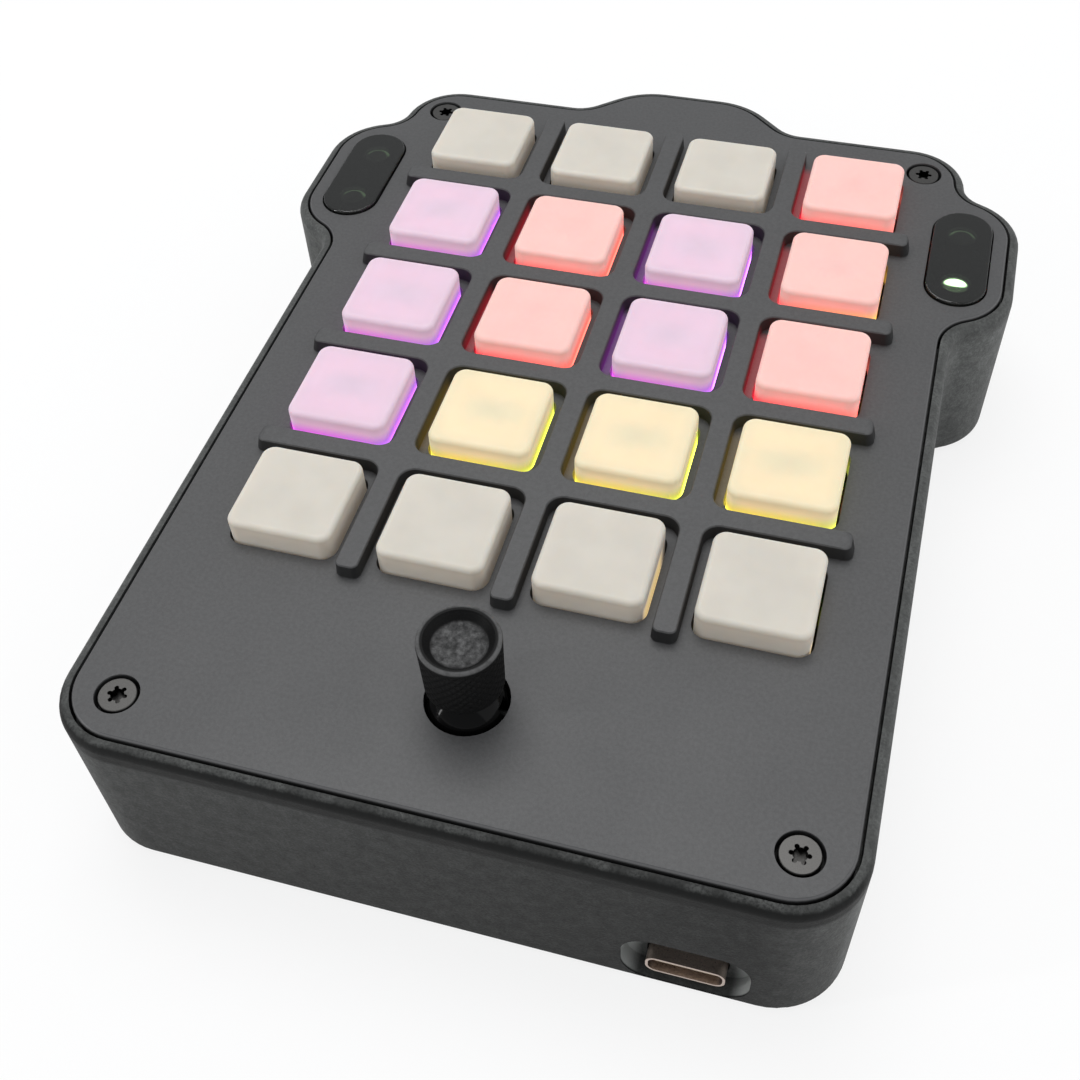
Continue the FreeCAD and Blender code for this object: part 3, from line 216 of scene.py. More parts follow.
def case_finish(looks):
    """Fine-grained matte nylon in mottled grey. Its tones follow the photograph's light: paler towards
    the top of the walls, on the right walls and in streaks on the flat of the rim, and darker on the
    front wall, low down and in a band under the rim. The ends of the port's recess are the palest.
    The recess's tone has no far limit in depth, so it also streaks the back wall low down."""
    rim_flat = (RIM_TOP - 0.35 * MM, RIM_TOP - 0.02 * MM)
    rim_foot = (RIM_TOP - 2.9 * MM, RIM_TOP - 2.2 * MM)
    wall_top = (RIM_TOP - 1.5 * MM, RIM_TOP - 3.0 * MM)
    edge_depth = (CASE_LOW.y + 12 * MM, CASE_LOW.y + 4 * MM)
    wall_depth = (CASE_LOW.y + 6 * MM, CASE_LOW.y + 3 * MM)
    recess_mouth = (CASE_LOW.y + 0.1 * MM, CASE_LOW.y + 0.3 * MM)
    recess_side = (7.5 * MM, 7.4 * MM)
    recess_top = (12 * MM, 11.5 * MM)
    recess_end = (5 * MM, 6.8 * MM)
    recess_shade = (10.5 * MM, 6 * MM)
    wander_height = 0.4 * MM

    recipe = Recipe("case_nylon")
    base = looks.case_colour
    broad = recipe.noise(1.7 * MM, detail=4.0, roughness=0.75)
    fine = recipe.noise(0.34 * MM, detail=3.0, roughness=0.7)
    mottle = recipe.plus(recipe.product(broad, 0.5), recipe.product(fine, 0.5))
    colour = recipe.ramp(mottle, [(0.34, tone(base, 0.66)), (0.5, tone(base, 1.0)), (0.66, tone(base, 1.5))])
    x, y, height = recipe.split(recipe.place)
    # Painted shade and light: the walls are darker low down and lighter towards the top.
    painted_height_shading = recipe.span(height, CASE_LOW.z, wall_top[0], 0.78, 1.3)
    colour = recipe.mix(1.0, colour, recipe.combine(painted_height_shading, painted_height_shading, painted_height_shading), "MULTIPLY")

    ragged = recipe.plus(height, recipe.product(recipe.less(broad, 0.5), wander_height))
    flat = recipe.span(ragged, *rim_flat, smooth=True)
    streaks = recipe.span(recipe.noise(5 * MM, detail=3.0, roughness=0.65), 0.42, 0.62, 0.1, 1.0)
    # Lighter streaks on the rim's flat: partly wear, partly a painted highlight.
    rim_wear_and_highlight = recipe.product(flat, recipe.span(fine, 0.36, 0.6, 0.1, 1.0), streaks)
    front = recipe.span(y, *edge_depth, smooth=True)
    # Painted reflection: a dark band on the front, from under the rim's flat down its rounding.
    band = recipe.product(recipe.span(ragged, *rim_foot, smooth=True), recipe.less(1.0, flat), front, 0.95)

    face = recipe.span(y, *wall_depth, smooth=True)
    aside = recipe.maths("ABSOLUTE", recipe.less(x, (PORT_LOW.x + PORT_HIGH.x) / 2))
    recess = recipe.product(recipe.span(y, *recess_mouth), recipe.span(aside, *recess_side),
                            recipe.span(height, *recess_top))
    # Painted shade: the front wall is darkened, least at the left end, most from the middle to the right,
    # less again round the right corner, and not in the port's recess.
    painted_front_shade = recipe.product(face, recipe.span(x, CASE_LOW.x, CASE_HIGH.x * 0.6, 0.4, 1.0),
                          recipe.span(x, CASE_HIGH.x * 0.67, CASE_HIGH.x * 0.8, 1.0, 0.3),
                          recipe.less(1.0, recess))
    colour = recipe.mix(painted_front_shade, colour, recipe.mix(1.0, colour, grey(0.22), "MULTIPLY"))
    # Painted light: the right walls, below the rim and off the front wall, are lightened.
    right = recipe.product(recipe.span(x, CASE_HIGH.x * 0.5, CASE_HIGH.x * 0.8),
                           recipe.span(height, *wall_top), recipe.less(1.0, face))
    colour = recipe.mix(right, colour, recipe.mix(1.0, colour, grey(1.45), "MULTIPLY"))
    # The rim's flat is darkened first, under those streaks.
    colour = recipe.mix(recipe.product(flat, 0.35), colour, tone(base, 0.3))
    colour = recipe.mix(band, colour, tone(base, 0.12))
    colour = recipe.mix(recipe.product(rim_wear_and_highlight, 0.45), colour, tone(base, 2.2))
    # Painted light: the ends of the port's recess are made much paler, fading out towards the recess's top.
    ends = recipe.product(recess, recipe.span(aside, *recess_end, smooth=True),
                          recipe.span(height, *recess_shade, smooth=True))
    colour = recipe.mix(ends, colour, tone(base, 5.5))

    grain = recipe.bump(fine, 0.06 * MM, 0.6)
    grain = recipe.bump(recipe.cells(0.18 * MM), 0.02 * MM, 0.5, under=grain)
    recipe.principled(Base_Color=colour, Roughness=recipe.span(mottle, 0.3, 0.7, 0.66, 0.52), Normal=grain,
                      Specular_IOR_Level=0.15)
    return recipe.material


def plate_finish(looks):
    """Satin dark grey plate with a fine sandy grain, rougher on every steep side, where painted shade darkens
    it, with a painted highlight on the edge bevel. Painted light from a lit key glows faintly on the ridge on
    its left in about the key's colour."""
    bevel_foot = (PLATE_FACE - 0.02 * MM, PLATE_FACE - 0.06 * MM)
    wall_top = (PLATE_FACE - 0.19 * MM, PLATE_FACE - 0.25 * MM)
    ridge_foot = (PLATE_FACE + 0.02 * MM, PLATE_FACE + 0.2 * MM)
    ridge_edge = (RIDGE_TOP - 0.05 * MM, RIDGE_TOP - 0.25 * MM)
    glow_rise = (RIDGE_TOP - 0.15 * MM, PLATE_FACE + 0.2 * MM)
    glow_side = (-KEY_WIDTH / 2 - 0.1 * MM, -KEY_WIDTH / 2 - 0.4 * MM)
    glow_length = (KEY_WIDTH * 0.52, KEY_WIDTH * 0.4)
    red, violet, yellow = (0.17, 0.003, 0.008, 1), (0.075, 0.008, 0.11, 1), (0.05, 0.03, 0.004, 1)

    recipe = Recipe("plate_satin")
    base = looks.plate_colour
    sand = recipe.noise(0.13 * MM, detail=2.0, roughness=0.6)
    grit = recipe.noise(0.45 * MM, detail=2.0, roughness=0.6)
    cloud = recipe.noise(12 * MM, detail=3.0)
    colour = recipe.ramp(sand, [(0.3, tone(base, 0.80)), (0.5, tone(base, 1.0)), (0.72, tone(base, 1.22))])
    colour = recipe.mix(0.5, colour, recipe.ramp(grit, [(0.35, tone(base, 0.78)), (0.65, tone(base, 1.22))]))
    colour = recipe.mix(0.2, colour, recipe.ramp(cloud, [(0.35, tone(base, 0.85)), (0.65, tone(base, 1.12))]))
    across, along, height = key_offsets(recipe)
    bevel = recipe.span(height, *bevel_foot)
    flank = recipe.product(recipe.span(height, *ridge_foot), recipe.span(height, *ridge_edge), 0.85)
    shade = recipe.maths("MAXIMUM", recipe.product(recipe.span(height, *wall_top), 0.9), flank)
    # Painted highlight on the edge bevel, then painted shade on the walls below it and on the ridges' flanks.
    colour = recipe.mix(recipe.product(bevel, 0.6), colour, tone(base, 1.8))
    colour = recipe.mix(shade, colour, tone(base, 0.15))

    # Painted light from the lit keys, glowing faintly on the ridge to each one's left in about its colour.
    painted_spill_area = recipe.product(recipe.span(across, *glow_side),
                            recipe.span(recipe.maths("ABSOLUTE", along), *glow_length),
                            recipe.span(height, *glow_rise))
    painted_ridge_light = recipe.mix(ridged_cells(recipe, "po"), (0, 0, 0, 1), red)
    painted_ridge_light = recipe.mix(ridged_cells(recipe, "v"), painted_ridge_light, violet)
    painted_ridge_light = recipe.mix(ridged_cells(recipe, "y"), painted_ridge_light, yellow)
    gloss = recipe.plus(recipe.span(cloud, 0.35, 0.65, 0.45, 0.52), recipe.product(shade, 0.25))
    recipe.principled(Base_Color=colour, Normal=recipe.bump(sand, 0.012 * MM, 0.6), Specular_IOR_Level=0.4,
                      Roughness=gloss, Emission_Color=painted_ridge_light, Emission_Strength=painted_spill_area)
    return recipe.material


def key_offsets(recipe):
    """How far a point lies to the right of and behind its own key's centre, and its height, in
    metres. The keys repeat at the pitch."""
    x, y, z = recipe.split(recipe.place)
    across = recipe.maths("WRAP", recipe.less(x, FIRST_KEY.x), PITCH / 2, -PITCH / 2)
    along = recipe.maths("WRAP", recipe.less(y, FIRST_KEY.y), PITCH / 2, -PITCH / 2)
    return across, along, z


def ridged_cells(recipe, letters):
    """One at every point in the squares of the keys whose letter in LIT_ROWS is among the given
    ones, and zero elsewhere. The first column is left out, for it has no ridge on its left."""
    x, y = recipe.split(recipe.place)[:2]
    total = 0.0
    for row, letters_in_row in enumerate(LIT_ROWS):
        columns = [column for column in range(1, COLUMNS) if letters_in_row[column] in letters]
        if columns:
            inside = 0.0
            for column in columns:
                centre = FIRST_KEY.x + column * PITCH
                inside = recipe.plus(inside, recipe.maths("COMPARE", x, centre, PITCH / 2))
            centre = FIRST_KEY.y + row * PITCH
            level = recipe.maths("COMPARE", y, centre, PITCH / 2)
            total = recipe.plus(total, recipe.product(inside, level))
    return total


def keycap_finish(name, looks, body, glow=None, left=None, right=None, leak=0.0):
    """Frosted silicone. A lit cap glows pale on top and strongly coloured towards its foot, in one
    colour on the left and another on the right. An unlit cap passes a little stray light through its
    sides, and where leak is above zero its right side catches yellow light from inside the case."""
    cap_side = (KEY_HIGH.z - 0.3 * MM, KEY_HIGH.z - 1.2 * MM)
    leak_side = (KEY_WIDTH * 0.485, KEY_WIDTH * 0.5)
    leak_rise = (PLATE_FACE + 1.7 * MM, PLATE_FACE + 0.7 * MM)
    leak_length = (4.5 * MM, 2.5 * MM)
    glow_rise = (PLATE_FACE - 2.6 * MM, KEY_HIGH.z - 0.5 * MM)
    warm_white, amber = (1.0, 0.84, 0.66, 1), (1.0, 0.62, 0.05, 1)

    recipe = Recipe(name)
    fine = recipe.noise(0.22 * MM, detail=2.0)
    broad = recipe.noise(5 * MM, detail=2.0)
    colour = recipe.ramp(broad, [(0.35, tone(body, 0.97)), (0.65, tone(body, 1.02))])
    recipe.principled(Base_Color=colour, Roughness=looks.key_roughness,
                      Normal=recipe.bump(fine, 0.008 * MM, 0.5), Specular_IOR_Level=0.35,
                      Subsurface_Weight=0.7, Subsurface_Radius=(3.2, 2.4, 1.8), Subsurface_Scale=MM)
    across, along, height = key_offsets(recipe)
    if glow is None:
        # Painted light: a faint glow on an unlit cap's sides and, where leak is above zero, yellow light on
        # its right side.
        inner = recipe.span(height, *cap_side, 0.0, 0.075, smooth=True)
        stray = recipe.product(recipe.span(across, *leak_side), recipe.span(height, *leak_rise),
                               recipe.span(along, *leak_length), leak)
        recipe.principled(Emission_Color=recipe.mix(stray, warm_white, amber),
                          Emission_Strength=recipe.plus(inner, stray))
        return recipe.material
    rise = recipe.span(height, *glow_rise)
    deep = recipe.mix(recipe.span(across, -KEY_WIDTH / 2, KEY_WIDTH / 2), left, right)
    warm = recipe.mix(recipe.span(rise, 0.53, 0.82), deep, tone(glow, 0.9))
    shade = recipe.mix(recipe.span(rise, 0.85, 1.0), warm, glow)
    power = recipe.ramp(rise, [(0.0, grey(1.0)), (0.42, grey(0.18)), (0.56, grey(0.092)), (0.84, grey(0.058)),
                               (1.0, grey(0.031))])
    edge = recipe.maths("MAXIMUM", recipe.maths("ABSOLUTE", across), recipe.maths("ABSOLUTE", along))
    middle = recipe.ramp(recipe.span(edge, 0.0, KEY_WIDTH / 2),
                         [(0.05, grey(0.84)), (0.4, grey(0.98)), (0.7, grey(1.0)), (1.0, grey(0.86))])
    recipe.principled(Emission_Color=shade,
                      Emission_Strength=recipe.product(power, middle, looks.key_glow * 10))
    return recipe.material


def plain_finish(name, colour, roughness, grain_size, grain_depth, shine=0.5):
    """A moulded, turned or pressed finish: fine grain in colour, gloss and surface."""
    recipe = Recipe(name)
    fine = recipe.noise(grain_size, detail=3.0)
    broad = recipe.noise(grain_size * 9, detail=3.0)
    shade = recipe.plus(recipe.product(fine, 0.6), recipe.product(broad, 0.4))
    tint = recipe.ramp(shade, [(0.3, tone(colour, 0.88)), (0.7, tone(colour, 1.12))])
    recipe.principled(Base_Color=tint, Normal=recipe.bump(fine, grain_depth, 0.6), Specular_IOR_Level=shine,
                      Roughness=recipe.span(shade, 0.3, 0.7, roughness * 0.88, roughness * 1.12))
    return recipe.material


def window_finish():
    """Glossy smoked acrylic that shows the light pipes under it, with faint moulding waves."""
    recipe = Recipe("window_smoked")
    wave = recipe.noise(6 * MM, detail=1.0)
    haze = recipe.noise(0.5 * MM, detail=3.0)
    smoke = recipe.ramp(haze, [(0.3, (0.075, 0.08, 0.07, 1)), (0.7, (0.095, 0.10, 0.09, 1))])
    recipe.principled(Base_Color=smoke, Roughness=recipe.span(haze, 0.3, 0.7, 0.05, 0.1),
                      Normal=recipe.bump(wave, 0.05 * MM, 0.3), Transmission_Weight=0.9, IOR=1.49,
                      Specular_IOR_Level=0.2)
    return recipe.material


def pipe_finish(looks):
    """Milky light pipes, each with a faint painted highlight, an arc of light at the back of its crown. The
    one
    nearest the front on the right is lit: a bright oval spot in a dim veil."""
    crown_foot = (PIPE_HIGH.z - 0.55 * MM, PIPE_HIGH.z - 0.45 * MM)
    spot_power, veil_power, arc_power = 50.0, 0.9, 1.1
    spot_flatness, spot_shift = 1.7, PIPE_ROUND * 0.15

    recipe = Recipe("pipe_milky")
    x, y, z = recipe.split(recipe.place)
    aside = recipe.less(recipe.maths("ABSOLUTE", x), PIPE_HIGH.x - PIPE_ROUND)
    back = recipe.less(y, PIPE_HIGH.y - PIPE_ROUND)
    front = recipe.less(y, PIPE_LOW.y + PIPE_ROUND)
    is_front = recipe.maths("LESS_THAN", y, (PIPE_LOW.y + PIPE_HIGH.y) / 2)
    along = recipe.plus(recipe.product(is_front, front), recipe.product(recipe.less(1.0, is_front), back))
    radius = recipe.distance(aside, along)
    crown = recipe.span(z, *crown_foot)
    ring = recipe.span(radius, PIPE_ROUND * 0.66, PIPE_ROUND * 0.8, smooth=True)
    # Painted highlight: a faint glowing arc at the back of every crown.
    arc = recipe.product(ring, crown, recipe.span(along, 0.0, PIPE_ROUND * 0.5, smooth=True), arc_power)
    lit = recipe.product(recipe.maths("GREATER_THAN", x, 0.0), is_front)
    oval = recipe.distance(aside, recipe.product(recipe.less(along, spot_shift), spot_flatness))
    spot = recipe.product(recipe.span(oval, PIPE_ROUND * 0.9, PIPE_ROUND * 0.62, smooth=True), spot_power)
    veil = recipe.product(recipe.span(radius, PIPE_ROUND, PIPE_ROUND * 0.7, smooth=True), veil_power)
    bright = recipe.product(recipe.plus(spot, veil), lit, crown)
    haze = recipe.noise(0.6 * MM, detail=2.0)
    body = recipe.ramp(haze, [(0.3, (0.22, 0.25, 0.2, 1)), (0.7, (0.28, 0.31, 0.25, 1))])
    recipe.principled(Base_Color=body, Roughness=0.25, Emission_Color=looks.status_colour,
                      Emission_Strength=recipe.plus(bright, arc))
    return recipe.material


def stick_finish():
    """Black rubbery plastic, with a painted highlight on the lip and a paler speckled pad on the dish's
    floor.
    """
    pad_edge = (3.15 * MM, 2.8 * MM)
    pad_level = (STICK_HIGH.z - 1.3 * MM, STICK_HIGH.z - 1.2 * MM)
    lip_level = (STICK_HIGH.z - 0.3 * MM, STICK_HIGH.z - 0.15 * MM)
    lip_edge = (4.05 * MM, 4.25 * MM)

    recipe = Recipe("stick_black")
    x, y, z = recipe.split(recipe.place)
    radius = recipe.distance(recipe.less(x, STICK_AXIS.x), recipe.less(y, STICK_AXIS.y))
    speckle = recipe.noise(0.9 * MM, detail=4.0, roughness=0.72)
    fine = recipe.noise(0.15 * MM, detail=2.0)
    pad = recipe.product(recipe.span(radius, *pad_edge), recipe.span(z, *pad_level))
    pale = recipe.ramp(speckle, [(0.36, grey(0.03)), (0.5, grey(0.062)), (0.66, grey(0.12))])
    black = recipe.ramp(fine, [(0.3, grey(0.004)), (0.7, grey(0.008))])
    # Painted highlight: the lip is made paler, in speckles.
    lip = recipe.product(recipe.span(z, *lip_level), recipe.span(radius, *lip_edge),
                         recipe.span(speckle, 0.3, 0.55, 0.5, 1.0), 0.8)
    colour = recipe.mix(lip, recipe.mix(pad, black, pale), grey(0.12))
    grain = recipe.bump(recipe.product(speckle, recipe.span(pad, 0, 1, 0.12, 1)), 0.12 * MM, 0.8)
    recipe.principled(Base_Color=colour, Roughness=recipe.span(pad, 0.0, 1.0, 0.5, 0.8), Normal=grain,
                      Specular_IOR_Level=0.1)
    return recipe.material


def board_finish():
    """Solder mask over traces: dark green with fine copper runs showing as lighter lines."""
    lane_width, trace_edge = 0.45 * MM, 0.33 * MM
    recipe = Recipe("board_mask")
    x, y = recipe.split(recipe.place)[:2]
    lane = recipe.maths("PINGPONG", recipe.plus(x, recipe.product(y, 0.35)), lane_width)
    trace = recipe.maths("GREATER_THAN", lane, trace_edge)
    copper = recipe.product(trace, recipe.span(recipe.noise(7 * MM, detail=1.0), 0.48, 0.52))
    colour = recipe.mix(copper, (0.006, 0.03, 0.014, 1), (0.012, 0.06, 0.026, 1))
    recipe.principled(Base_Color=colour, Roughness=0.32, Normal=recipe.bump(trace, 0.02 * MM, 0.4))
    return recipe.material


def metal_finish(name, colour, roughness, turned_round=None, face=None):
    """Drawn or turned metal with fine lines, round an upright axis where one is given. Where a face level is
    given, painted shade darkens the screws' sockets below it: their walls dark, their floor less so."""
    recipe = Recipe(name)
    x, y, z = recipe.split(recipe.place)
    fine = recipe.noise(0.18 * MM, detail=3.0)
    if turned_round is not None:
        radius = recipe.distance(recipe.less(x, turned_round.x), recipe.less(y, turned_round.y))
        fine = recipe.noise(0.12 * MM, detail=2.0, vector=recipe.combine(radius, z, 0.0))
    tint = recipe.ramp(fine, [(0.3, tone(colour, 0.82)), (0.7, tone(colour, 1.12))])
    if face is not None:
        # Painted shade in the screws' sockets: the walls dark and the floor half as bright as the head.
        floor = face - SOCKET_DEPTH
        tint = recipe.mix(recipe.span(z, face - 0.03 * MM, face - 0.12 * MM), tint, tone(colour, 0.12))
        tint = recipe.mix(recipe.span(z, floor + 0.08 * MM, floor + 0.02 * MM), tint, tone(colour, 0.5))
    recipe.principled(Base_Color=tint, Metallic=1.0, Normal=recipe.bump(fine, 0.01 * MM, 0.5),
                      Roughness=recipe.span(fine, 0.3, 0.7, roughness * 0.8, roughness * 1.2))
    return recipe.material


# Shared work on pieces

def dress(name, material):
    """Gives a CAD node its material, and rounds its shading by welding and splitting live modifiers."""
    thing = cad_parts[name]
    thing.data.materials.clear()
    thing.data.materials.append(material)
    thing.data.polygons.foreach_set("use_smooth", np.ones(len(thing.data.polygons), bool))
    thing.modifiers.new("weld", "WELD").merge_threshold = WELD_REACH
    thing.modifiers.new("split", "EDGE_SPLIT").split_angle = SHARP_ANGLE
    thing.modifiers.new("even", "WEIGHTED_NORMAL").keep_sharp = True


def turned_piece(name, points, material):
    """A closed mesh from a grid of points with one ring in each row, its faces outwards and its first
    and last rings filled."""
    rows, columns = points.shape[:2]
    v, u = np.meshgrid(np.arange(rows - 1), np.arange(columns), indexing="ij")
    ahead = (u + 1) % columns
    here, above = v * columns, (v + 1) * columns
    faces = np.stack([here + u, here + ahead, above + ahead, above + u], -1).reshape(-1, 4).tolist()
    ring = np.arange(columns)
    faces += [ring[::-1].tolist(), ((rows - 1) * columns + ring).tolist()]
    mesh = bpy.data.meshes.new(name)
    mesh.from_pydata(points.reshape(-1, 3).tolist(), [], faces)
    mesh.polygons.foreach_set("use_smooth", np.ones(len(mesh.polygons), bool))
    mesh.materials.append(material)
    mesh.update()
    piece = bpy.data.objects.new(name, mesh)
    bpy.context.scene.collection.objects.link(piece)
    return piece


def stick_cap(looks, material):
    """The stick's cap as one turned surface. Its outline runs from the dish's middle over the rounded
    lip, down the knurled side and under to the shaft. The knurl is a diamond pattern: each point of
    the side is drawn inwards by the depth times one minus the higher of two ridge waves that lean
    opposite ways round the cap."""
    top, foot = STICK_HIGH.z, STICK_LOW.z
    wide = (STICK_HIGH.x - STICK_LOW.x) / 2
    side_taper, dish_depth = 0.2 * MM, 1.0 * MM
    narrow, dish = wide - side_taper, top - dish_depth
    floor_radii = (0.5 * MM, 1.5 * MM, 2.7 * MM)
    floor_edge, floor_rise = 3.0 * MM, 0.12 * MM
    dish_wall = [(3.35 * MM, dish + 0.45 * MM), (3.7 * MM, top - 0.18 * MM)]
    lip_radius, lip_round, edge_round = 3.9 * MM, 0.15 * MM, 0.4 * MM
    knurl_margin, knurl_levels, knurl_fade = 0.5 * MM, 56, 3.0
    points_per_ridge = 8
    bore_play, end_gap = 0.05 * MM, 0.02 * MM

    turn = np.linspace(0, math.pi / 2, 7)
    outline = [(radius, dish) for radius in floor_radii]
    outline += [(floor_edge + floor_rise * math.sin(a), dish + floor_rise * (1 - math.cos(a)))
                for a in turn[:4]]
    outline += dish_wall
    outline += [(lip_radius - lip_round * math.cos(a), top - lip_round * (1 - math.sin(a)))
                for a in turn[1:]]
    outline += [(wide - edge_round * (1 - math.sin(a)), top - edge_round * (1 - math.cos(a))) for a in turn]
    side_start = len(outline)
    levels = np.linspace(top - knurl_margin, foot + knurl_margin, knurl_levels)
    outline += [(narrow + (wide - narrow) * (z - foot) / (top - foot), z) for z in levels]
    outline += [(narrow - edge_round * (1 - math.cos(a)), foot + edge_round * (1 - math.sin(a)))
                for a in turn]
    bore = SHAFT_HIGH.x - STICK_AXIS.x + bore_play
    outline += [(bore, foot), (bore, SHAFT_HIGH.z + end_gap)]
    outline = np.array(outline)

    ridges = looks.knurl_count
    angle = np.arange(ridges * points_per_ridge) * 2 * math.pi / (ridges * points_per_ridge)
    radius, height = outline[:, :1], outline[:, 1:]
    lean = (top - height) / wide * ridges
    wave = np.maximum(np.cos(ridges * angle + lean), np.cos(ridges * angle - lean))
    step = np.arange(knurl_levels)
    fade = np.zeros((len(outline), 1))
    fade[side_start:side_start + knurl_levels, 0] = np.clip(np.minimum(step, step[::-1]) / knurl_fade, 0, 1)
    radius = radius - looks.knurl_depth * fade * (1 - (wave + 1) / 2)
    x, y = STICK_AXIS.x + radius * np.cos(angle), STICK_AXIS.y + radius * np.sin(angle)
    points = np.stack([x, y, np.broadcast_to(height, x.shape)], -1)
    return turned_piece("stick_cap_knurled", points[::-1], material)


# Sizes and colours

class KeypadLooks(bpy.types.PropertyGroup):
    case_colour: bpy.props.FloatVectorProperty(
        name="Case", description="Nylon of the tub", subtype="COLOR", min=0, max=1,
        default=(0.062, 0.064, 0.062))
    plate_colour: bpy.props.FloatVectorProperty(
        name="Plate", description="Satin key plate", subtype="COLOR", min=0, max=1,
        default=(0.0675, 0.0675, 0.0685))
    key_colour: bpy.props.FloatVectorProperty(
        name="Unlit cap", description="Frosted silicone", subtype="COLOR", min=0, max=1,
        default=(0.61, 0.575, 0.51))
    key_roughness: bpy.props.FloatProperty(
        name="Cap roughness", description="Frosting of the caps", default=0.5, min=0, max=1)
    key_glow: bpy.props.FloatProperty(
        name="Key light", description="Strength of the light in lit caps", default=1.0, min=0, max=4)
    status_colour: bpy.props.FloatVectorProperty(
        name="Status light", description="Lit light pipe", subtype="COLOR", size=4, min=0, max=1,
        default=(0.62, 1.0, 0.55, 1.0))
    knurl_depth: bpy.props.FloatProperty(
        name="Knurl depth", description="Depth of the cap's knurling", default=0.17 * MM, unit="LENGTH")
    knurl_count: bpy.props.IntProperty(
        name="Knurl count", description="Ridges round the cap", default=26, min=8, max=80)


class KeypadStage(bpy.types.PropertyGroup):
    camera_place: bpy.props.FloatVectorProperty(
        name="Camera", description="Where the camera stands", subtype="TRANSLATION",
        default=(35.439 * MM, -129.149 * MM, 152.391 * MM))
    camera_turn: bpy.props.FloatVectorProperty(
        name="Turn", description="Which way the camera points", subtype="EULER",
        default=(math.radians(39.729), math.radians(2.214), math.radians(15.941)))
    lens: bpy.props.FloatProperty(
        name="Lens", description="Focal length on a 36 mm sensor, in millimetres", default=46.144)
    floor_reach: bpy.props.FloatProperty(
        name="Floor", description="Half the floor's width", default=3.0, unit="LENGTH")
    floor_colour: bpy.props.FloatVectorProperty(
        name="Floor colour", description="Pale floor", subtype="COLOR", default=(0.9, 0.9, 0.9), min=0, max=1)
    softbox_power: bpy.props.FloatProperty(
        name="Softbox", description="Main lamp, in watts", default=3.2)
    fill_power: bpy.props.FloatProperty(
        name="Fill", description="Fill lamp, in watts", default=0.9)
    streak_power: bpy.props.FloatProperty(
        name="Streak", description="Narrow lamp on the left, in watts", default=0.7)


# Operators: one for each piece or group of like pieces

class MACROPAD_OT_case(bpy.types.Operator):
    """Dress the tub in grained nylon and its feet in rubber"""
    bl_idname = "macropad.case"
    bl_label = "Case"

    def execute(self, context):
        looks = context.scene.keypad_looks
        dress("case_tub", case_finish(looks))
        dress("rubber_feet", plain_finish("foot_rubber", (0.018, 0.018, 0.019), 0.75, 0.3 * MM, 0.03 * MM))
        return {"FINISHED"}


class MACROPAD_OT_plate(bpy.types.Operator):
    """Dress the ridged plate in its satin finish"""
    bl_idname = "macropad.plate"
    bl_label = "Plate"

    def execute(self, context):
        dress("top_plate", plate_finish(context.scene.keypad_looks))
        return {"FINISHED"}


class MACROPAD_OT_keys(bpy.types.Operator):
    """Dress the twenty keycaps: frosted, and lit pink, violet or yellow where they are"""
    bl_idname = "macropad.keys"
    bl_label = "Keys"

    def execute(self, context):
        looks = context.scene.keypad_looks
        finishes = {
            ".": keycap_finish("cap_unlit", looks, looks.key_colour),
            "l": keycap_finish("cap_leaked", looks, looks.key_colour, leak=0.55),
            # Painted light: the lit caps' base colours are the silicone tinted in the colour of their own
            # light.
            "p": keycap_finish("cap_pink", looks, (0.62, 0.45, 0.42), (1.0, 0.42, 0.37, 1),
                               (1.0, 0.03, 0.06, 1), (1.0, 0.16, 0.12, 1)),
            "o": keycap_finish("cap_pink_orange", looks, (0.62, 0.45, 0.42), (1.0, 0.42, 0.37, 1),
                               (1.0, 0.10, 0.12, 1), (1.0, 0.50, 0.06, 1)),
            "v": keycap_finish("cap_violet", looks, (0.50, 0.43, 0.48), (0.88, 0.53, 0.78, 1),
                               (0.72, 0.07, 0.80, 1), (0.48, 0.14, 0.86, 1)),
            "y": keycap_finish("cap_yellow", looks, (0.56, 0.51, 0.385), (0.92, 0.80, 0.44, 1),
                               (0.85, 0.68, 0.06, 1), (0.60, 0.68, 0.07, 1)),
        }
        stem = plain_finish("stem_plastic", (0.55, 0.53, 0.50), 0.45, 0.3 * MM, 0.01 * MM)
        for row in range(ROWS):
            for column in range(COLUMNS):
                place = f"r{row + 1}_c{column + 1}"
                dress("keycap_" + place, finishes[LIT_ROWS[row][column]])
                dress("key_stem_" + place, stem)
        return {"FINISHED"}


class MACROPAD_OT_windows(bpy.types.Operator):
    """Dress the ear windows and their light pipes"""
    bl_idname = "macropad.windows"
    bl_label = "Ear windows"

    def execute(self, context):
        looks = context.scene.keypad_looks
        dress("ear_windows", window_finish())
        dress("light_pipes", pipe_finish(looks))
        return {"FINISHED"}


class MACROPAD_OT_stick(bpy.types.Operator):
    """Build the knurled, dished cap and dress the dome, shaft and yoke"""
    bl_idname = "macropad.stick"
    bl_label = "Thumb stick"

    def execute(self, context):
        looks = context.scene.keypad_looks
        cap = stick_cap(looks, stick_finish())
        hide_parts("stick_cap")
        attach(cap, "stick_push")
        gloss = plain_finish("dome_gloss", (0.002, 0.002, 0.002), 0.1, 0.3 * MM, 0.002 * MM, shine=0.12)
        dress("stick_dome", gloss)
        steel = metal_finish("stick_steel", (0.5, 0.49, 0.47), 0.3, turned_round=STICK_AXIS)
        dress("stick_shaft", steel)
        inner = plain_finish("housing_black", (0.006, 0.006, 0.006), 0.6, 0.3 * MM, 0.01 * MM, shine=0.2)
        dress("stick_yoke", inner)
        dress("stick_housing", inner)
        return {"FINISHED"}


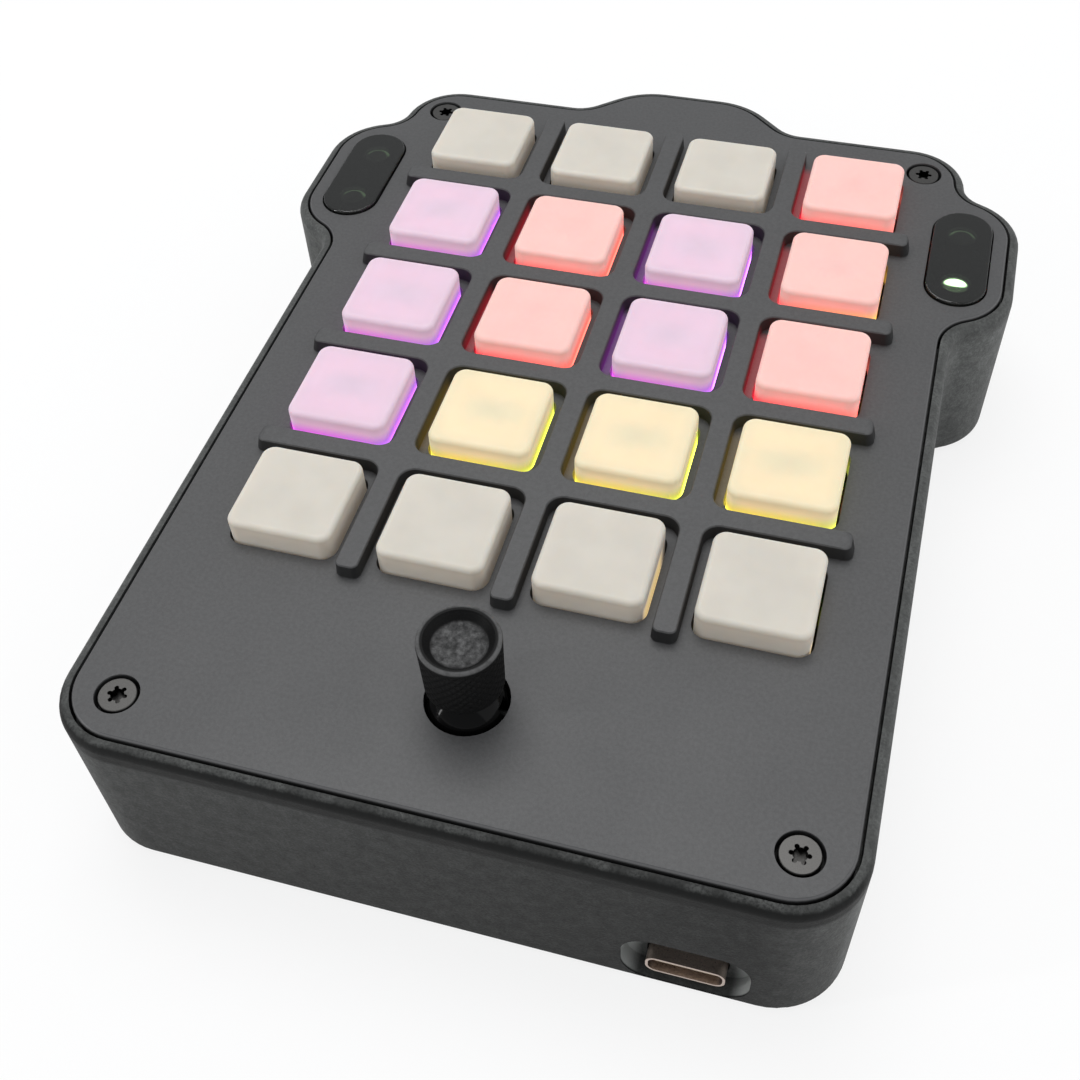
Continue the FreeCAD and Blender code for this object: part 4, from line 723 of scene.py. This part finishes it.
class MACROPAD_OT_hardware(bpy.types.Operator):
    """Dress screws, inserts, boards, switches and the port"""
    bl_idname = "macropad.hardware"
    bl_label = "Hardware"

    def execute(self, context):
        oxide = (0.09, 0.088, 0.085)
        dress("plate_screws", metal_finish("screw_oxide", oxide, 0.42, face=SCREW_TOP))
        dress("board_screws", metal_finish("board_screw_oxide", oxide, 0.42))
        dress("threaded_inserts", metal_finish("insert_brass", (0.68, 0.46, 0.18), 0.3))
        mask = board_finish()
        for name in ("key_board", "controller_board"):
            dress(name, mask)
        moulded = plain_finish("moulded_black", (0.018, 0.018, 0.018), 0.45, 0.35 * MM, 0.01 * MM)
        for name in ("header_strips", "switch_housings"):
            dress(name, moulded)
        dress("usb_tongue", plain_finish("tongue_tan", (0.5, 0.41, 0.31), 0.5, 0.3 * MM, 0.004 * MM))
        dress("usb_shell", metal_finish("port_nickel", (0.50, 0.41, 0.36), 0.34))
        dress("board_leds", plain_finish("led_resin", (0.75, 0.74, 0.66), 0.2, 0.5 * MM, 0.005 * MM))
        return {"FINISHED"}


# The stage: each lamp's name, place, aim and size in metres, and the setting for its power.
LAMPS = (
    ("softbox_main", (-0.12, 0.20, 0.75), (0, 0, 0), (0.5, 0.5), "softbox_power"),
    ("softbox_fill", (0.50, 0.05, 0.25), (0, 0, 0), (0.9, 0.6), "fill_power"),
    ("streak_left", (-0.42, -0.28, 0.20), (0, 0, 0.02), (0.03, 0.5), "streak_power"),
)
SENSOR_WIDTH = 36.0
CLIP_START = 5 * MM
SURROUNDINGS_STRENGTH = 0.55
FLOOR_WHITENESS = 0.82


def softbox(name, place, aim, size, power):
    lamp = bpy.data.lights.new(name, "AREA")
    lamp.shape = "RECTANGLE"
    lamp.size, lamp.size_y = size
    lamp.energy = power
    holder = bpy.data.objects.new(name, lamp)
    holder.location = place
    holder.rotation_euler = (Vector(aim) - Vector(place)).to_track_quat("-Z", "Y").to_euler()
    bpy.context.scene.collection.objects.link(holder)


class MACROPAD_OT_stage(bpy.types.Operator):
    """Set the camera, the soft lamps, the pale floor and the pale surroundings"""
    bl_idname = "macropad.stage"
    bl_label = "Stage"

    def execute(self, context):
        stage = context.scene.keypad_stage
        camera = bpy.data.objects.new("camera", bpy.data.cameras.new("camera"))
        camera.data.lens = stage.lens
        camera.data.sensor_width = SENSOR_WIDTH
        camera.data.clip_start = CLIP_START
        camera.location = stage.camera_place
        camera.rotation_euler = Euler(stage.camera_turn, "XYZ")
        context.scene.collection.objects.link(camera)
        context.scene.camera = camera

        floor_recipe = Recipe("floor_paper")
        paper = floor_recipe.noise(3 * MM, detail=3.0)
        pale = stage.floor_colour
        tint = floor_recipe.ramp(paper, [(0.3, tone(pale, 0.985)), (0.7, tone(pale, 1.0))])
        floor_recipe.principled(Base_Color=tint, Roughness=0.9, Specular_IOR_Level=0.1)
        glow = floor_recipe.add("ShaderNodeEmission")
        glow.inputs["Color"].default_value = (1, 1, 1, 1)
        paths = floor_recipe.add("ShaderNodeLightPath")
        seen = floor_recipe.maths("MAXIMUM", paths.outputs["Is Camera Ray"],
                                  floor_recipe.maths("MAXIMUM", paths.outputs["Is Glossy Ray"],
                                                     paths.outputs["Is Transmission Ray"]))
        blend = floor_recipe.add("ShaderNodeMixShader")
        floor_recipe.join(floor_recipe.product(seen, FLOOR_WHITENESS), blend.inputs[0])
        floor_recipe.join(floor_recipe.shader.outputs[0], blend.inputs[1])
        floor_recipe.join(glow.outputs[0], blend.inputs[2])
        floor_recipe.join(blend.outputs[0], floor_recipe.output.inputs["Surface"])
        reach = stage.floor_reach
        mesh = bpy.data.meshes.new("floor")
        mesh.from_pydata([(-reach, -reach, 0), (reach, -reach, 0), (reach, reach, 0), (-reach, reach, 0)], [],
                         [(0, 1, 2, 3)])
        mesh.materials.append(floor_recipe.material)
        floor = bpy.data.objects.new("floor", mesh)
        context.scene.collection.objects.link(floor)

        for name, place, aim, size, setting in LAMPS:
            softbox(name, place, aim, size, getattr(stage, setting))

        world = context.scene.world or bpy.data.worlds.new("world")
        context.scene.world = world
        world.use_nodes = True
        tree = world.node_tree
        tree.nodes.clear()
        out = tree.nodes.new("ShaderNodeOutputWorld")
        paths = tree.nodes.new("ShaderNodeLightPath")
        light = tree.nodes.new("ShaderNodeBackground")
        light.inputs["Color"].default_value = (0.95, 0.97, 1.0, 1)
        light.inputs["Strength"].default_value = SURROUNDINGS_STRENGTH
        white = tree.nodes.new("ShaderNodeBackground")
        white.inputs["Color"].default_value = (1, 1, 1, 1)
        white.inputs["Strength"].default_value = 1.0
        blend = tree.nodes.new("ShaderNodeMixShader")
        tree.links.new(paths.outputs["Is Camera Ray"], blend.inputs[0])
        tree.links.new(light.outputs[0], blend.inputs[1])
        tree.links.new(white.outputs[0], blend.inputs[2])
        tree.links.new(blend.outputs[0], out.inputs["Surface"])
        context.scene.view_settings.view_transform = "Standard"
        return {"FINISHED"}


STEPS = (MACROPAD_OT_case, MACROPAD_OT_plate, MACROPAD_OT_keys, MACROPAD_OT_windows, MACROPAD_OT_stick,
         MACROPAD_OT_hardware, MACROPAD_OT_stage)


class MACROPAD_PT_sidebar(bpy.types.Panel):
    """Lists the keypad's sizes, colours and steps"""
    bl_idname = "MACROPAD_PT_sidebar"
    bl_label = "Keypad"
    bl_space_type = "VIEW_3D"
    bl_region_type = "UI"
    bl_category = "Keypad"

    def draw(self, context):
        for group in (context.scene.keypad_looks, context.scene.keypad_stage):
            box = self.layout.box()
            for name in group.__annotations__:
                box.prop(group, name)
        for step in STEPS:
            self.layout.operator(step.bl_idname)


CLASSES = (KeypadLooks, KeypadStage, *STEPS, MACROPAD_PT_sidebar)


def register():
    for made in CLASSES:
        bpy.utils.register_class(made)
    bpy.types.Scene.keypad_looks = bpy.props.PointerProperty(type=KeypadLooks)
    bpy.types.Scene.keypad_stage = bpy.props.PointerProperty(type=KeypadStage)


def unregister():
    del bpy.types.Scene.keypad_looks
    del bpy.types.Scene.keypad_stage
    for made in reversed(CLASSES):
        bpy.utils.unregister_class(made)


def main():
    register()
    bpy.ops.macropad.case()
    bpy.ops.macropad.plate()
    bpy.ops.macropad.keys()
    bpy.ops.macropad.windows()
    bpy.ops.macropad.stick()
    bpy.ops.macropad.hardware()
    bpy.ops.macropad.stage()


if __name__ == "__main__":
    main()
